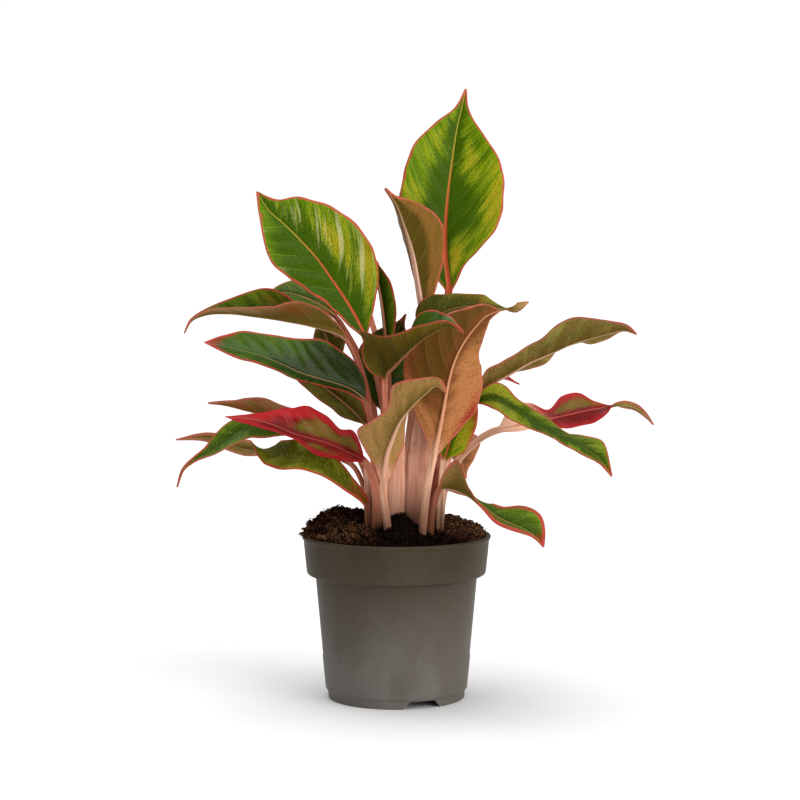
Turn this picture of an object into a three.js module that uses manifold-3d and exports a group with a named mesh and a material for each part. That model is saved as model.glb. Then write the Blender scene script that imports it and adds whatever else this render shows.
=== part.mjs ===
// A young Chinese evergreen in its nursery pot: pot, soil plug, short canes and
// twenty-seven leaves, each leaf one closed solid of blade, midrib and stalk.
// Millimetres, +Z up, the front of the plant towards -Y, feet of the pot on z = 0.
import * as THREE from 'three';
import { mergeVertices } from 'three/addons/utils/BufferGeometryUtils.js';
import Module from 'manifold-3d';

const wasm = await Module();
wasm.setup();

const UP = new THREE.Vector3(0, 0, 1);
const FRONT = new THREE.Vector3(0, -1, 0);
const SEAT = 0.3; // clearance between pieces that touch in the real plant

const material = (color, roughness) => new THREE.MeshStandardMaterial({ color, roughness });
const POT_PLASTIC = material(0x4c4a46, 0.6);
const SOIL = material(0x2c1d14, 0.98);
const CANE = material(0xd39a86, 0.6);
const LEAF = material(0x4f7a2c, 0.45);

// ---------------------------------------------------------------- closed rings

// Skins a list of equal rings (arrays of Vector3) and closes both ends with a fan. The
// second half of a ring is cut along the other diagonal, so that where the rings are
// flat and turn against each other, as on a twisted leaf, the two faces keep apart.
function loft(rings) {
  const count = rings[0].length;
  const points = rings.flat();
  const index = [];
  for (let i = 0; i + 1 < rings.length; i += 1) {
    for (let j = 0; j < count; j += 1) {
      const a = i * count + j;
      const b = i * count + ((j + 1) % count);
      if (j < count / 2) index.push(a, b, b + count, a, b + count, a + count);
      else index.push(a, b, a + count, b, b + count, a + count);
    }
  }
  for (const [start, flip] of [[0, true], [(rings.length - 1) * count, false]]) {
    const centre = points.length;
    const middle = new THREE.Vector3();
    for (let j = 0; j < count; j += 1) middle.addScaledVector(points[start + j], 1 / count);
    points.push(middle);
    for (let j = 0; j < count; j += 1) {
      const pair = [start + j, start + ((j + 1) % count)];
      if (flip) pair.reverse();
      index.push(centre, ...pair);
    }
  }
  const geometry = new THREE.BufferGeometry().setFromPoints(points);
  geometry.setIndex(index);
  return geometry;
}

function toSolid(geometry) {
  const bare = geometry.clone();
  bare.deleteAttribute('normal');
  bare.deleteAttribute('uv');
  const welded = mergeVertices(bare, 1e-4);
  return new wasm.Manifold(new wasm.Mesh({
    numProp: 3,
    vertProperties: new Float32Array(welded.attributes.position.array),
    triVerts: new Uint32Array(welded.index.array),
  }));
}

function fromSolid(solid) {
  const mesh = solid.getMesh();
  const geometry = new THREE.BufferGeometry();
  geometry.setAttribute('position', new THREE.BufferAttribute(mesh.vertProperties, 3));
  geometry.setIndex(new THREE.BufferAttribute(mesh.triVerts, 1));
  return geometry;
}

// ------------------------------------------------------------------------- pot

const LIP_RADIUS = 60;
const POT_HEIGHT = 104;
const FLOOR_TOP = 6.2;
const POT_SEGMENTS = 40;

// Outer wall from the foot ring up, then the inner wall back down to the middle.
const POT_PROFILE = [
  [0, 0], [13, 0], [14.5, 4.6], [40, 4.6], [41, 0], [43.4, 0], [43.8, 4.6], [45.2, 6.4], [46.6, 26.6],
  [47.1, 27.2], [51.4, 77.8], [54, 78.6], [56.6, 79.6], [57.1, 81.4], [59, 100.8], [59.6, 101.6],
  [LIP_RADIUS, 102.4], [LIP_RADIUS, 103.4], [59.2, POT_HEIGHT], [57.4, POT_HEIGHT], [56.7, 102.6],
  [55.4, 83.4], [50.2, 79.2], [49.7, 75], [45.3, 26], [44, FLOOR_TOP], [0, FLOOR_TOP],
];

// Gap between two feet: a block with chamfered ends cut through the foot ring.
const NOTCH_HEIGHT = 4.8;
const NOTCH_BEARINGS = [22.5, 142.5, 262.5]; // degrees from the front towards +X

function notchCutter(bearing) {
  const outline = new THREE.Shape([
    new THREE.Vector2(-13.2, -1), new THREE.Vector2(13.2, -1),
    new THREE.Vector2(8.4, NOTCH_HEIGHT), new THREE.Vector2(-8.4, NOTCH_HEIGHT),
  ]);
  const cutter = new THREE.ExtrudeGeometry(outline, { depth: 12, bevelEnabled: false });
  cutter.rotateX(Math.PI / 2);
  cutter.translate(0, -36, 0);
  cutter.rotateZ(THREE.MathUtils.degToRad(bearing));
  return toSolid(cutter);
}

function buildPot() {
  const profile = POT_PROFILE.map(([radius, z]) => new THREE.Vector2(radius, z));
  const shell = new THREE.LatheGeometry(profile, POT_SEGMENTS);
  shell.rotateX(Math.PI / 2);
  let pot = toSolid(shell);
  for (const bearing of NOTCH_BEARINGS) pot = pot.subtract(notchCutter(bearing));
  for (let k = 0; k < 8; k += 1) {
    const drain = new THREE.CylinderGeometry(4, 4, 8, 14).rotateX(Math.PI / 2);
    drain.translate(0, 30, 5).rotateZ((k + 0.5) * Math.PI / 4);
    pot = pot.subtract(toSolid(drain));
  }
  return fromSolid(pot);
}

// ---------------------------------------------------------------------- leaves

const PATH_STEPS = 12; // samples along the path between two given points
const STALK_STATIONS = 4;
const BLADE_STATIONS = [0, 0.05, 0.11, 0.18, 0.26, 0.35, 0.44, 0.53, 0.62, 0.71, 0.79, 0.86, 0.92,
  0.965, 1];
const STALK_HALF_WIDTH = { foot: 2.7, top: 2.2 };
const MIDRIB_KEEL = 2.0; // how far the midrib stands out under the blade at its base
const MIDRIB_HALF_WIDTH = { base: 2.4, tip: 1.0 };
const TIP_HALF_WIDTH = 0.5;
const BLADE_THICKNESS = { midrib: 0.8, edge: 0.65 };

// The leaf points were read off one upright plane through the pot's axis, seen from
// 1430 mm in front at 300 mm height. This slides a reading to its own depth along the
// line of sight, so the leaf keeps its place in that view.
const EYE_DISTANCE = 1430;
const EYE_HEIGHT = 300;

function placed([x, depth, z]) {
  const spread = 1 + depth / EYE_DISTANCE;
  return new THREE.Vector3(x * spread, depth, EYE_HEIGHT + (z - EYE_HEIGHT) * spread);
}

// Value at `at` (0..1) of a list spaced evenly over the blade, through smooth joins.
function along(list, at) {
  if (list.length === 1) return list[0];
  if (list.length === 2) return list[0] + (list[1] - list[0]) * at;
  const last = list.length - 1;
  const i = Math.min(Math.floor(at * last), last - 1);
  const w = at * last - i;
  const slope = (k) => {
    if (k === 0) return list[1] - list[0];
    if (k === last) return list[last] - list[last - 1];
    return (list[k + 1] - list[k - 1]) / 2;
  };
  const w2 = w * w;
  const w3 = w2 * w;
  return (2 * w3 - 3 * w2 + 1) * list[i] + (w3 - 2 * w2 + w) * slope(i)
    + (3 * w2 - 2 * w3) * list[i + 1] + (w3 - w2) * slope(i + 1);
}

// Samples a leaf's path and answers for any distance along it.
function leafPath({ stalk, rib }) {
  const points = [...stalk, ...rib].map(placed);
  const steps = PATH_STEPS * (points.length - 1);
  const samples = new THREE.CatmullRomCurve3(points, false, 'centripetal').getPoints(steps);
  const run = [0];
  for (let i = 1; i < samples.length; i += 1) {
    run.push(run[i - 1] + samples[i].distanceTo(samples[i - 1]));
  }
  const rolls = [...stalk.map(() => rib[0][3]), ...rib.map((point) => point[3])];
  const sampleAt = (distance) => {
    const d = THREE.MathUtils.clamp(distance, 0, run.at(-1));
    let i = 0;
    while (i + 2 < run.length && run[i + 1] < d) i += 1;
    return i + (d - run[i]) / (run[i + 1] - run[i]);
  };
  const pointAt = (distance) => {
    const s = sampleAt(distance);
    const i = Math.min(Math.floor(s), samples.length - 2);
    return samples[i].clone().lerp(samples[i + 1], s - i);
  };
  return {
    length: run.at(-1),
    bladeStart: run[stalk.length * PATH_STEPS],
    pointAt,
    tangentAt: (distance) => pointAt(distance + 1.5).sub(pointAt(distance - 1.5)).normalize(),
    rollAt: (distance) => {
      const k = sampleAt(distance) / PATH_STEPS;
      const i = Math.min(Math.floor(k), rolls.length - 2);
      return THREE.MathUtils.degToRad(rolls[i] + (rolls[i + 1] - rolls[i]) * (k - i));
    },
  };
}

// Normal of the upper face: roll 0 faces the viewer, 90 faces up, 180 faces away.
// `heading` is 1 for a leaf that runs to the left and -1 for one that runs right.
function upperNormal(tangent, roll, heading, facing) {
  const front = facing.clone().addScaledVector(tangent, -facing.dot(tangent)).normalize();
  const side = new THREE.Vector3().crossVectors(tangent, front).multiplyScalar(heading);
  return front.multiplyScalar(Math.cos(roll)).addScaledVector(side, Math.sin(roll));
}

// One half of a blade section: upper and lower points from the midrib to the edge.
// The half leaves the midrib at `fold` degrees and bends on by `curl` degrees.
function halfSection(half, at, sign, frame, across) {
  const fade = Math.min(1, at / 0.1);
  const fold = THREE.MathUtils.degToRad(along(half.fold, at)) * fade;
  const curl = THREE.MathUtils.degToRad(along(half.curl, at)) * fade || 1e-6;
  const width = Math.max(TIP_HALF_WIDTH, along(half.width, at));
  const { base, tip } = MIDRIB_HALF_WIDTH;
  const ribShare = Math.min(base + (tip - base) * at, 0.45 * width) / width;
  const upper = [];
  const lower = [];
  for (let k = 0; k <= across; k += 1) {
    const v = k === 0 ? 0 : ribShare + ((1 - ribShare) * (k - 1)) / (across - 1);
    const angle = fold + curl * v;
    const out = (Math.sin(angle) - Math.sin(fold)) / curl;
    const rise = (Math.cos(fold) - Math.cos(angle)) / curl;
    const normal = frame.normal.clone();
    if (k > 0) {
      normal.multiplyScalar(Math.cos(angle)).addScaledVector(frame.right, -sign * Math.sin(angle));
    }
    const point = frame.origin.clone().addScaledVector(frame.right, sign * width * out)
      .addScaledVector(frame.normal, width * rise);
    const keel = Math.sqrt(Math.max(0, 1 - (v / ribShare) ** 2)) * MIDRIB_KEEL * (1 - at) ** 0.8;
    const sheet = BLADE_THICKNESS.midrib + (BLADE_THICKNESS.edge - BLADE_THICKNESS.midrib) * v;
    upper.push(point);
    lower.push(point.clone().addScaledVector(normal, -(sheet + keel)));
  }
  return { upper, lower };
}

// Stalk section: an oval, flatter above, with as many points as a blade section.
function stalkSection(halfWidth, frame, across) {
  const upper = [];
  const lower = [];
  for (let k = -across; k <= across; k += 1) {
    const v = Math.sin((k / across) * (Math.PI / 2) * 0.93);
    const depth = halfWidth * Math.cos((k / across) * (Math.PI / 2) * 0.93);
    const edge = frame.origin.clone().addScaledVector(frame.right, halfWidth * v);
    upper.push(edge.clone().addScaledVector(frame.normal, 0.35 * depth));
    lower.push(edge.addScaledVector(frame.normal, -0.95 * depth));
  }
  return [...upper, ...lower.reverse()];
}

function leafRings(leaf) {
  const path = leafPath(leaf);
  const across = leaf.broad ? 3 : 2;
  const facing = leaf.facing ?? FRONT;
  const rings = [];
  const frameAt = (distance) => {
    const tangent = path.tangentAt(distance);
    const normal = upperNormal(tangent, path.rollAt(distance), leaf.heading, facing);
    const right = new THREE.Vector3().crossVectors(tangent, normal);
    return { origin: path.pointAt(distance), normal, right };
  };
  const { top } = STALK_HALF_WIDTH;
  const foot = leaf.sheath ?? STALK_HALF_WIDTH.foot;
  for (let k = 0; k < STALK_STATIONS; k += 1) {
    const share = k / STALK_STATIONS;
    const frame = frameAt(path.bladeStart * share);
    rings.push(stalkSection(foot + (top - foot) * share, frame, across));
  }
  for (const at of BLADE_STATIONS) {
    const frame = frameAt(path.bladeStart + (path.length - path.bladeStart) * at);
    const left = halfSection(leaf.left, at, -1, frame, across);
    const right = halfSection(leaf.right, at, 1, frame, across);
    rings.push([
      ...left.upper.reverse(), ...right.upper.slice(1),
      ...right.lower.reverse(), ...left.lower.slice(1),
    ]);
  }
  return rings;
}

// Outline of a plain oval half blade, as shares of its widest half width.
const OVAL = [0.1, 0.38, 0.66, 0.87, 0.98, 1, 0.93, 0.76, 0.46, 0.15, 0.02];
const oval = (halfWidth) => OVAL.map((share) => share * halfWidth);

// stalk: [x, depth, z] readings from the foot in the soil up to the blade.
// rib:   [x, depth, z, roll] readings along the midrib, tip last.
// sheath: half width at the foot of a stalk that is broader than STALK_HALF_WIDTH.foot.
// left, right: the halves as seen on the upper face with the tip up; fold and curl in
// degrees and half width in mm, each spaced evenly from the base of the blade to its tip.
const LEAVES = {
  leaf_top_right: {
    heading: 1,
    broad: true,
    sheath: 4.4,
    stalk: [[12, -13, 96], [13, -10, 130], [19, 6, 180], [28, 20, 225], [32, 26, 250]],
    rib: [[33, 27, 259, 0], [31, 28, 280, 0], [31, 28, 300, 0], [32.5, 28, 320, 0],
      [35, 29, 340, 0], [38, 31, 360, 0], [41, 32, 373, 0], [43.5, 34, 385, 0]],
    left: { fold: [12], curl: [10, 0], width: [2.5, 11, 22, 29, 31.5, 31, 30, 25, 15, 4.5, 0.5] },
    right: { fold: [10], curl: [10, 0], width: [2.5, 11, 23, 32, 36, 36.5, 34, 27.5, 17, 5, 0.5] },
  },
  leaf_rolled: {
    heading: -1,
    broad: true,
    stalk: [[4.5, -15, 96], [4, -13, 130], [8, -1, 165], [12.5, 9, 205], [15.5, 12, 232]],
    rib: [[16.5, 12, 241, 178], [15, 12, 252, 175], [13, 12, 265, 172], [10.5, 12, 280, 172],
      [7.5, 11, 291, 172], [4.5, 11, 300, 172], [0.5, 10, 311, 172], [-7, 9, 323, 172]],
    left: { fold: [5], curl: [30, 20, 10], width: [2.4, 7, 12, 17, 21, 24, 25, 23, 15, 4, 0.5] },
    right: { fold: [80], curl: [40, 10], width: [2.4, 7, 12, 16, 19, 20, 19, 16, 9, 3, 0.5] },
  },
  leaf_top_left: {
    heading: 1,
    broad: true,
    stalk: [[-3, -4, 96], [-4, 4, 140], [-9, 11, 190], [-17, 11, 222]],
    rib: [[-20, 10, 231, 20], [-30, 7, 250, 18], [-40, 2, 265, 15], [-50, -4, 279, 12],
      [-60, -9, 290, 12], [-70, -15, 300, 12], [-80, -20, 309, 14], [-87.5, -26, 320.5, 15]],
    left: { fold: [8], curl: [10, 0], width: [2.6, 8, 11.5, 14, 18, 22, 24, 23, 18, 7, 0.5] },
    right: { fold: [8], curl: [14, 10], width: [2.6, 13, 23, 30, 33, 33, 30, 26.5, 19, 8, 0.5] },
  },
  leaf_half_rolled: {
    heading: 1,
    stalk: [[-3, 5, 96], [-3, 12, 140], [-5, 18, 190], [-6, 18, 217]],
    rib: [[-6.5, 18, 225, -20], [-7, 18, 235, -20], [-8.5, 18, 248, -20], [-10.5, 18, 260, -20],
      [-13.5, 18, 271, -20], [-17, 18, 281, -20]],
    left: { fold: [100], curl: [20], width: [2.4, 5, 7, 8, 8, 8, 7, 6, 4, 2, 0.5] },
    right: { fold: [15], curl: [15], width: [2.4, 7, 9, 10.5, 11, 11, 10.5, 9.5, 7, 3.5, 0.5] },
  },
  leaf_left_long: {
    heading: 1,
    stalk: [[-10, 1, 96], [-12, 2, 150], [-20, 3, 200], [-29, 3, 225]],
    rib: [[-34, 3, 231, 150], [-50, 6, 236.5, 145], [-62, 9, 239.5, 130], [-74, 13, 242, 95],
      [-90, 17, 244, 85], [-105, 22, 245.5, 85], [-120, 27, 244.5, 90], [-130, 31, 240, 90],
      [-134.5, 33, 232, 90]],
    left: { fold: [10, 20, 20, 15], curl: [10, 10, 10, 0],
      width: [2.6, 10, 13, 14, 14, 12, 10, 8, 5, 2, 0.5] },
    right: { fold: [50, 50, 60, 45, 20], curl: [0, 10, 0],
      width: [2.6, 8, 12, 15, 18, 18, 14, 9, 5, 2, 0.5] },
  },
  leaf_left_back: {
    heading: 1,
    stalk: [[-5, 16, 96], [-10, 24, 150], [-18, 31, 205], [-34, 33, 238]],
    rib: [[-38, 33, 243, 60], [-50, 40, 251, 55], [-62, 48, 256, 55], [-75, 56, 258, 65],
      [-86, 62, 255, 75]],
    left: { fold: [15], curl: [0], width: oval(15) },
    right: { fold: [15], curl: [0], width: oval(14) },
  },
  leaf_left_small: {
    heading: 1,
    stalk: [[-11, 10, 96], [-14, 12, 150], [-24, 18, 190], [-34, 22, 208]],
    rib: [[-36, 23, 213, 170], [-41, 24, 222, 170], [-45, 25, 232, 170], [-50, 26, 243, 170]],
    left: { fold: [10], curl: [10], width: oval(11) },
    right: { fold: [10], curl: [20], width: oval(11) },
  },
  leaf_left_glossy: {
    heading: 1,
    stalk: [[-10, -18, 96], [-13, -16, 135], [-15, -14, 170], [-18, -14, 186]],
    rib: [[-20, -14, 190, 20], [-30, -17, 197, 20], [-45, -22, 202, 20], [-60, -28, 206.5, 20],
      [-72, -33, 212, 20], [-80, -37, 215.5, 25], [-90, -42, 219, 25], [-100, -47, 221.5, 25],
      [-110, -52, 224, 25], [-121, -58, 226, 25]],
    left: { fold: [-50, -40, -20], curl: [-10], width: [2.4, 4, 5, 5.5, 6, 6, 6, 6, 5.5, 3.5, 0.5] },
    right: { fold: [5], curl: [-30, -20], width: [2.4, 17, 24, 26, 24, 20, 16.5, 14.5, 12.5, 6.5, 0.5] },
  },
  leaf_left_olive: {
    heading: 1,
    stalk: [[-10, -8, 96], [-10, -8, 130], [-13, -6, 160], [-17, -5, 172]],
    rib: [[-20, -5, 176, 165], [-29, -4, 185, 165], [-41, -4, 195, 165], [-55, -5, 205, 165],
      [-66, -8, 211, 165], [-77, -12, 215, 165]],
    left: { fold: [10], curl: [0], width: [2.4, 6, 9, 10, 10, 10, 10, 9, 7, 3, 0.5] },
    right: { fold: [10], curl: [0], width: [2.4, 7, 10, 10, 10, 10, 9, 8, 6, 3, 0.5] },
  },
  leaf_red: {
    heading: 1,
    broad: true,
    sheath: 4.4,
    stalk: [[-11.5, -26, 96], [-12.5, -27, 128], [-16, -29, 143], [-19, -30, 149]],
    rib: [[-22, -30, 152, 20], [-32, -33, 157, 20], [-45, -39, 162.5, 20], [-56, -45, 165.5, 20],
      [-66, -51, 168.5, 20], [-76, -56, 173, 20], [-92, -65, 177.5, 30], [-108, -73, 179, 40]],
    left: { fold: [-30], curl: [-20], width: [2.4, 7, 10, 10, 6, 3.5, 4, 4.5, 4, 3, 0.5] },
    right: { fold: [0], curl: [-20], width: [2.4, 15, 12, 18, 21, 18.5, 13.5, 8, 4, 2, 0.5] },
  },
  leaf_left_tip: {
    heading: 1,
    stalk: [[-17, 3, 96], [-18, 4, 138], [-28, 3, 160]],
    rib: [[-34, 2, 165, 110], [-52, 6, 172, 110], [-68, 12, 177, 115], [-82, 18, 181, 120],
      [-95, 24, 184, 115], [-108, 30, 187, 110], [-119, 36, 188, 110]],
    left: { fold: [25], curl: [0], width: [2.4, 7, 9, 10, 11, 12, 12, 9, 5, 2.5, 0.5] },
    right: { fold: [25], curl: [0], width: [2.4, 7, 9, 10, 11, 10, 9, 8, 5, 2.5, 0.5] },
  },
  leaf_left_drooping: {
    heading: 1,
    stalk: [[-18, -5, 96], [-19, -5, 130], [-27, -5, 148]],
    rib: [[-34, -7, 153, 70], [-50, -9, 163, 70], [-65, -13, 170.5, 60], [-80, -25, 172, 50],
      [-95, -33, 171.5, 45], [-107, -39, 165, 40], [-118, -44, 157, 45], [-128, -47, 151.5, 50],
      [-135.5, -49, 145, 50], [-139.5, -50, 134, 50]],
    left: { fold: [10], curl: [0], width: [2.4, 4, 5, 7, 9, 10, 9.5, 7, 3.5, 1.5, 0.5] },
    right: { fold: [10], curl: [0], width: [2.4, 4, 6, 8, 10, 10, 9.5, 7, 3.5, 1.5, 0.5] },
  },
  leaf_left_twisted: {
    heading: 1,
    stalk: [[-17, -21, 96], [-17.5, -22, 112], [-18, -23, 119]],
    rib: [[-19, -24, 124, 25], [-32, -27, 135, 25], [-45, -28, 145.5, 30], [-59, -28, 153.5, 35],
      [-78, -18, 158, 50], [-88, -12, 159, 125], [-98, -6, 160, 140], [-120, 6, 166, 150],
      [-139.5, 15, 164.5, 150]],
    left: { fold: [0], curl: [0], width: [2.4, 3, 4.5, 8, 13, 13, 9, 7, 4.5, 2.5, 0.5] },
    right: { fold: [0], curl: [-10], width: [2.4, 7, 11, 13.5, 13, 9.5, 7.5, 7, 5, 2.5, 0.5] },
  },
  leaf_centre_arched: {
    heading: -1,
    broad: true,
    stalk: [[-3, -13, 96], [-3, -16, 135], [-7, -19, 170], [-8, -21, 198]],
    rib: [[-8, -22, 205, 120], [-2, -32, 212, 115], [4, -42, 218.5, 110], [13, -53, 227, 105],
      [23, -62, 233.5, 105], [33, -68, 237, 105], [43, -71, 232.5, 105]],
    left: { fold: [30, 35, 35], curl: [10],
      width: [2.4, 8, 12, 17, 22, 25, 23, 19, 13, 6, 0.5] },
    right: { fold: [65, 60, 30, 20, 15], curl: [15, 10, 0],
      width: [2.4, 24, 30, 28, 22, 18, 15, 12, 8, 3.5, 0.5] },
  },
  leaf_front_copper: {
    heading: -1,
    broad: true,
    stalk: [[16, -34, 96], [17, -35, 110], [20, -34, 135]],
    rib: [[24, -33, 155, 180], [27, -32, 168, 180], [30, -30, 184, 180], [33, -28, 200, 180],
      [36.5, -26, 213, 180], [42, -23, 225, 175], [50, -20, 236, 172], [57, -16, 243, 168],
      [65, -11, 246, 165]],
    left: { fold: [12, 12, 20], curl: [8], width: [2.4, 8, 15, 21, 22, 21, 18, 13, 9, 6, 0.5] },
    right: { fold: [8], curl: [10], width: [2.4, 9, 17, 23, 28, 31, 29, 22, 16, 9, 0.5] },
  },
  leaf_front: {
    heading: -1,
    broad: true,
    stalk: [[-4, -33, 96], [-6, -36, 112], [-8, -40, 128]],
    rib: [[-8, -42, 138, 165], [-6, -48, 155, 165], [-2, -54, 167, 160], [2, -60, 176, 155],
      [8, -66, 184, 150], [17, -72, 193, 145], [26, -76, 199, 140], [32, -78, 194, 130]],
    left: { fold: [12, 15, 40, 60, 60, 60], curl: [10],
      width: [2.4, 7, 10, 12, 12, 12, 11, 9, 6, 3, 0.5] },
    right: { fold: [15], curl: [10], width: [2.4, 6, 14, 21, 17, 12, 13, 17, 13, 6, 0.5] },
  },
  leaf_back_dark: {
    heading: 1,
    stalk: [[3, 12, 96], [1, 18, 140], [-6, 22, 172]],
    rib: [[-8, 22, 183, 0], [-9, 22, 200, 0], [-4, 23, 222, 0], [6, 24, 244, 0]],
    left: { fold: [10], curl: [0], width: oval(19) },
    right: { fold: [10], curl: [0], width: oval(16) },
  },
  leaf_right_band: {
    heading: -1,
    stalk: [[22.5, -3, 96], [24, 0, 150], [23, 1, 190], [20, 0, 222]],
    rib: [[20, 0, 230, 25], [24, -1, 241, 25], [34, -1, 247, 30], [46, 1, 249, 35],
      [58, 6, 248.5, 35], [68, 12, 248, 75], [76, 17, 248, 140], [83, 22, 251.5, 150]],
    left: { fold: [0], curl: [0], width: [2.4, 13, 15, 11, 9.5, 9.5, 9, 7, 5, 3.5, 0.5] },
    right: { fold: [10], curl: [0], width: [2.4, 9, 12, 11, 9, 8, 6, 5, 4.5, 3.5, 0.5] },
  },
  leaf_right_long: {
    heading: -1,
    stalk: [[27, -9, 96], [29, -9, 130], [38, -8, 170], [48, -7, 189]],
    rib: [[53, -7, 196, 150], [70, -12, 206, 150], [84, -18, 214, 150], [98, -25, 220, 150],
      [112, -32, 226, 150], [130, -40, 231, 150], [144, -47, 234, 145], [152, -51, 231.5, 140]],
    left: { fold: [60, 60, 45, 20, 14, 60, 62, 18, 20, 35, 50], curl: [0],
      width: [2.4, 5, 7, 8, 8, 7, 7, 7, 6, 3, 0.5] },
    right: { fold: [10], curl: [0], width: [2.4, 9, 9.5, 9.5, 10, 12, 16, 15.5, 11, 6, 0.5] },
  },
  leaf_right_tip: {
    heading: -1,
    stalk: [[22, 8, 96], [24, 11, 140], [34, 13, 177]],
    rib: [[38, 13, 184, 70], [50, 22, 195, 70], [60, 30, 202, 70], [68, 38, 204, 70],
      [78, 46, 200, 70]],
    left: { fold: [10], curl: [0], width: oval(7) },
    right: { fold: [10], curl: [0], width: oval(7) },
  },
  leaf_right_green: {
    heading: -1,
    stalk: [[20, -13, 96], [24, -14, 130], [36, -15, 165], [46, -15, 183]],
    rib: [[51, -16, 189, 30], [62, -21, 191, 30], [75, -28, 184.5, 45], [90, -36, 175, 58],
      [105, -44, 166, 70], [118, -51, 160, 48], [129, -57, 152, 30], [137, -61, 141, 30]],
    left: { fold: [0], curl: [0], width: [2.4, 10, 8.5, 8, 9, 10, 10, 10.5, 12, 5.5, 0.5] },
    right: { fold: [0], curl: [0], width: [2.4, 7, 9, 10.5, 10, 9, 8, 6.5, 5.5, 2.5, 0.5] },
  },
  leaf_right_red: {
    heading: -1,
    stalk: [[28, 1, 96], [29, 0, 125], [35, -2, 145], [46, -3, 159], [58, -4, 168]],
    rib: [[66, -4, 171, 30], [80, 0, 174, 30], [92, 4, 176.5, 30], [107, 9, 179.7, 30],
      [121, 15, 183, 35], [131, 19, 185, 70], [137, 21, 186.5, 120], [144, 24, 187, 150],
      [152, 27, 185, 150], [158, 29, 180, 150], [163, 31, 174, 150]],
    left: { fold: [20], curl: [0], width: [2.4, 13, 13, 6, 12, 13, 6, 3, 4.5, 3, 0.5] },
    right: { fold: [-10], curl: [0], width: [2.4, 4, 4, 6, 9, 9.5, 8, 4, 3, 2, 0.5] },
  },
  leaf_right_yellow: {
    heading: -1,
    stalk: [[27, -19, 96], [28.5, -20, 130], [30, -20, 148]],
    rib: [[31, -20, 153, 10], [34, -20, 163, 10], [39, -19, 177, 10], [44, -18, 192, 10],
      [48, -17, 204, 10]],
    left: { fold: [0], curl: [0], width: [2.4, 7, 9, 10, 10, 10, 9, 8, 6, 3, 0.5] },
    right: { fold: [0], curl: [0], width: [2.4, 10, 12, 12, 12, 12, 11, 9, 6, 3, 0.5] },
  },
  leaf_low_right: {
    heading: -1,
    stalk: [[21, -29, 96], [22.5, -31, 118], [26, -35, 130]],
    rib: [[29, -38, 134, 150], [39, -43, 133, 150], [49, -49, 128.5, 110], [56, -55, 122, 70],
      [64, -60, 115.5, 50], [73, -66, 111, 45], [82, -71, 107, 45], [88, -75, 103, 45],
      [94, -79, 96, 45]],
    left: { fold: [10], curl: [0], width: [2.4, 4, 5, 6, 8, 10, 13, 15, 14, 8, 0.5] },
    right: { fold: [0], curl: [0], width: [2.4, 19, 20, 10, 5, 5, 5.5, 5, 4, 2, 0.5] },
  },
  // The three leaves behind the others are guessed: no view shows the back.
  leaf_back_right: {
    heading: -1,
    facing: UP,
    stalk: [[13, 12, 96], [16, 20, 150], [22, 34, 190]],
    rib: [[24, 42, 198, 0], [28, 60, 206, 0], [32, 82, 205, 0], [36, 104, 196, 0],
      [38, 124, 180, 0]],
    left: { fold: [18], curl: [10], width: oval(23) },
    right: { fold: [18], curl: [10], width: oval(23) },
  },
  leaf_back_high: {
    heading: 1,
    facing: UP,
    stalk: [[5, 20, 96], [2, 32, 150], [-6, 40, 205], [-16, 52, 240]],
    rib: [[-19, 58, 248, 0], [-26, 74, 262, 0], [-35, 94, 270, 0], [-43, 112, 268, 0],
      [-50, 130, 256, 0]],
    left: { fold: [18], curl: [10], width: oval(24) },
    right: { fold: [18], curl: [10], width: oval(24) },
  },
  leaf_back_low: {
    heading: -1,
    facing: UP,
    stalk: [[16, 21, 96], [20, 34, 130], [26, 52, 152]],
    rib: [[28, 58, 156, 0], [32, 76, 162, 0], [37, 96, 160, 0], [41, 114, 152, 0],
      [44, 130, 140, 0]],
    left: { fold: [18], curl: [10], width: oval(17) },
    right: { fold: [18], curl: [10], width: oval(17) },
  },
};

// ----------------------------------------------------------------------- canes

// Short upright stems in the soil, [x, depth, z, half width, half depth] from the foot up.
const CANES = {
  stem_left: [[-15.5, -12.5, 96, 2.6, 2.4], [-17, -12.5, 118, 2.5, 2.3], [-18.8, -13, 140, 1.8, 1.6],
    [-20, -13, 152, 0.7, 0.7]],
  stem_centre: [[-1, -26.8, 96, 5.2, 2.4], [-0.8, -26.8, 124, 5.9, 2.4], [0.6, -26.8, 147, 4.8, 2],
    [4.5, -27, 162, 0.9, 0.9]],
  stem_front: [[11.5, -21, 96, 6.5, 2.6], [12, -21, 124, 8, 2.6], [14.5, -20.2, 154, 7, 2.3],
    [15.5, -19.5, 174, 4.6, 2], [14.5, -19, 190, 0.9, 0.9]],
};
const CANE_SIDES = 12;

function caneRings(stations) {
  return stations.map(([x, depth, z, halfWidth, halfDepth]) => {
    const centre = placed([x, depth, z]);
    return Array.from({ length: CANE_SIDES }, (_, k) => {
      const turn = (k / CANE_SIDES) * 2 * Math.PI;
      return new THREE.Vector3(halfWidth * Math.cos(turn), halfDepth * Math.sin(turn), 0)
        .add(centre);
    });
  });
}

// ------------------------------------------------------------------------ soil

const SOIL_TOP = 103;
const SOIL_SEGMENTS = 40;
const SOIL_SIDE = [[0, 6.5], [43.6, 6.5], [44.9, 26], [49.3, 75], [49.8, 79.6], [55, 83.9],
  [56.2, 101.5]];
const SOIL_RINGS = [55.6, 51, 46, 40, 33, 26, 18, 9]; // radii over the mounded top

// Heaps over the mound: [x, y, height, spread].
const HEAPS = [[-44, 6, 10, 11], [-26, 14, 7, 13], [38, 12, 5, 16], [3, -31, 12, 7],
  [-30, -28, 3, 10], [20, 34, 3, 14]];

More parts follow.
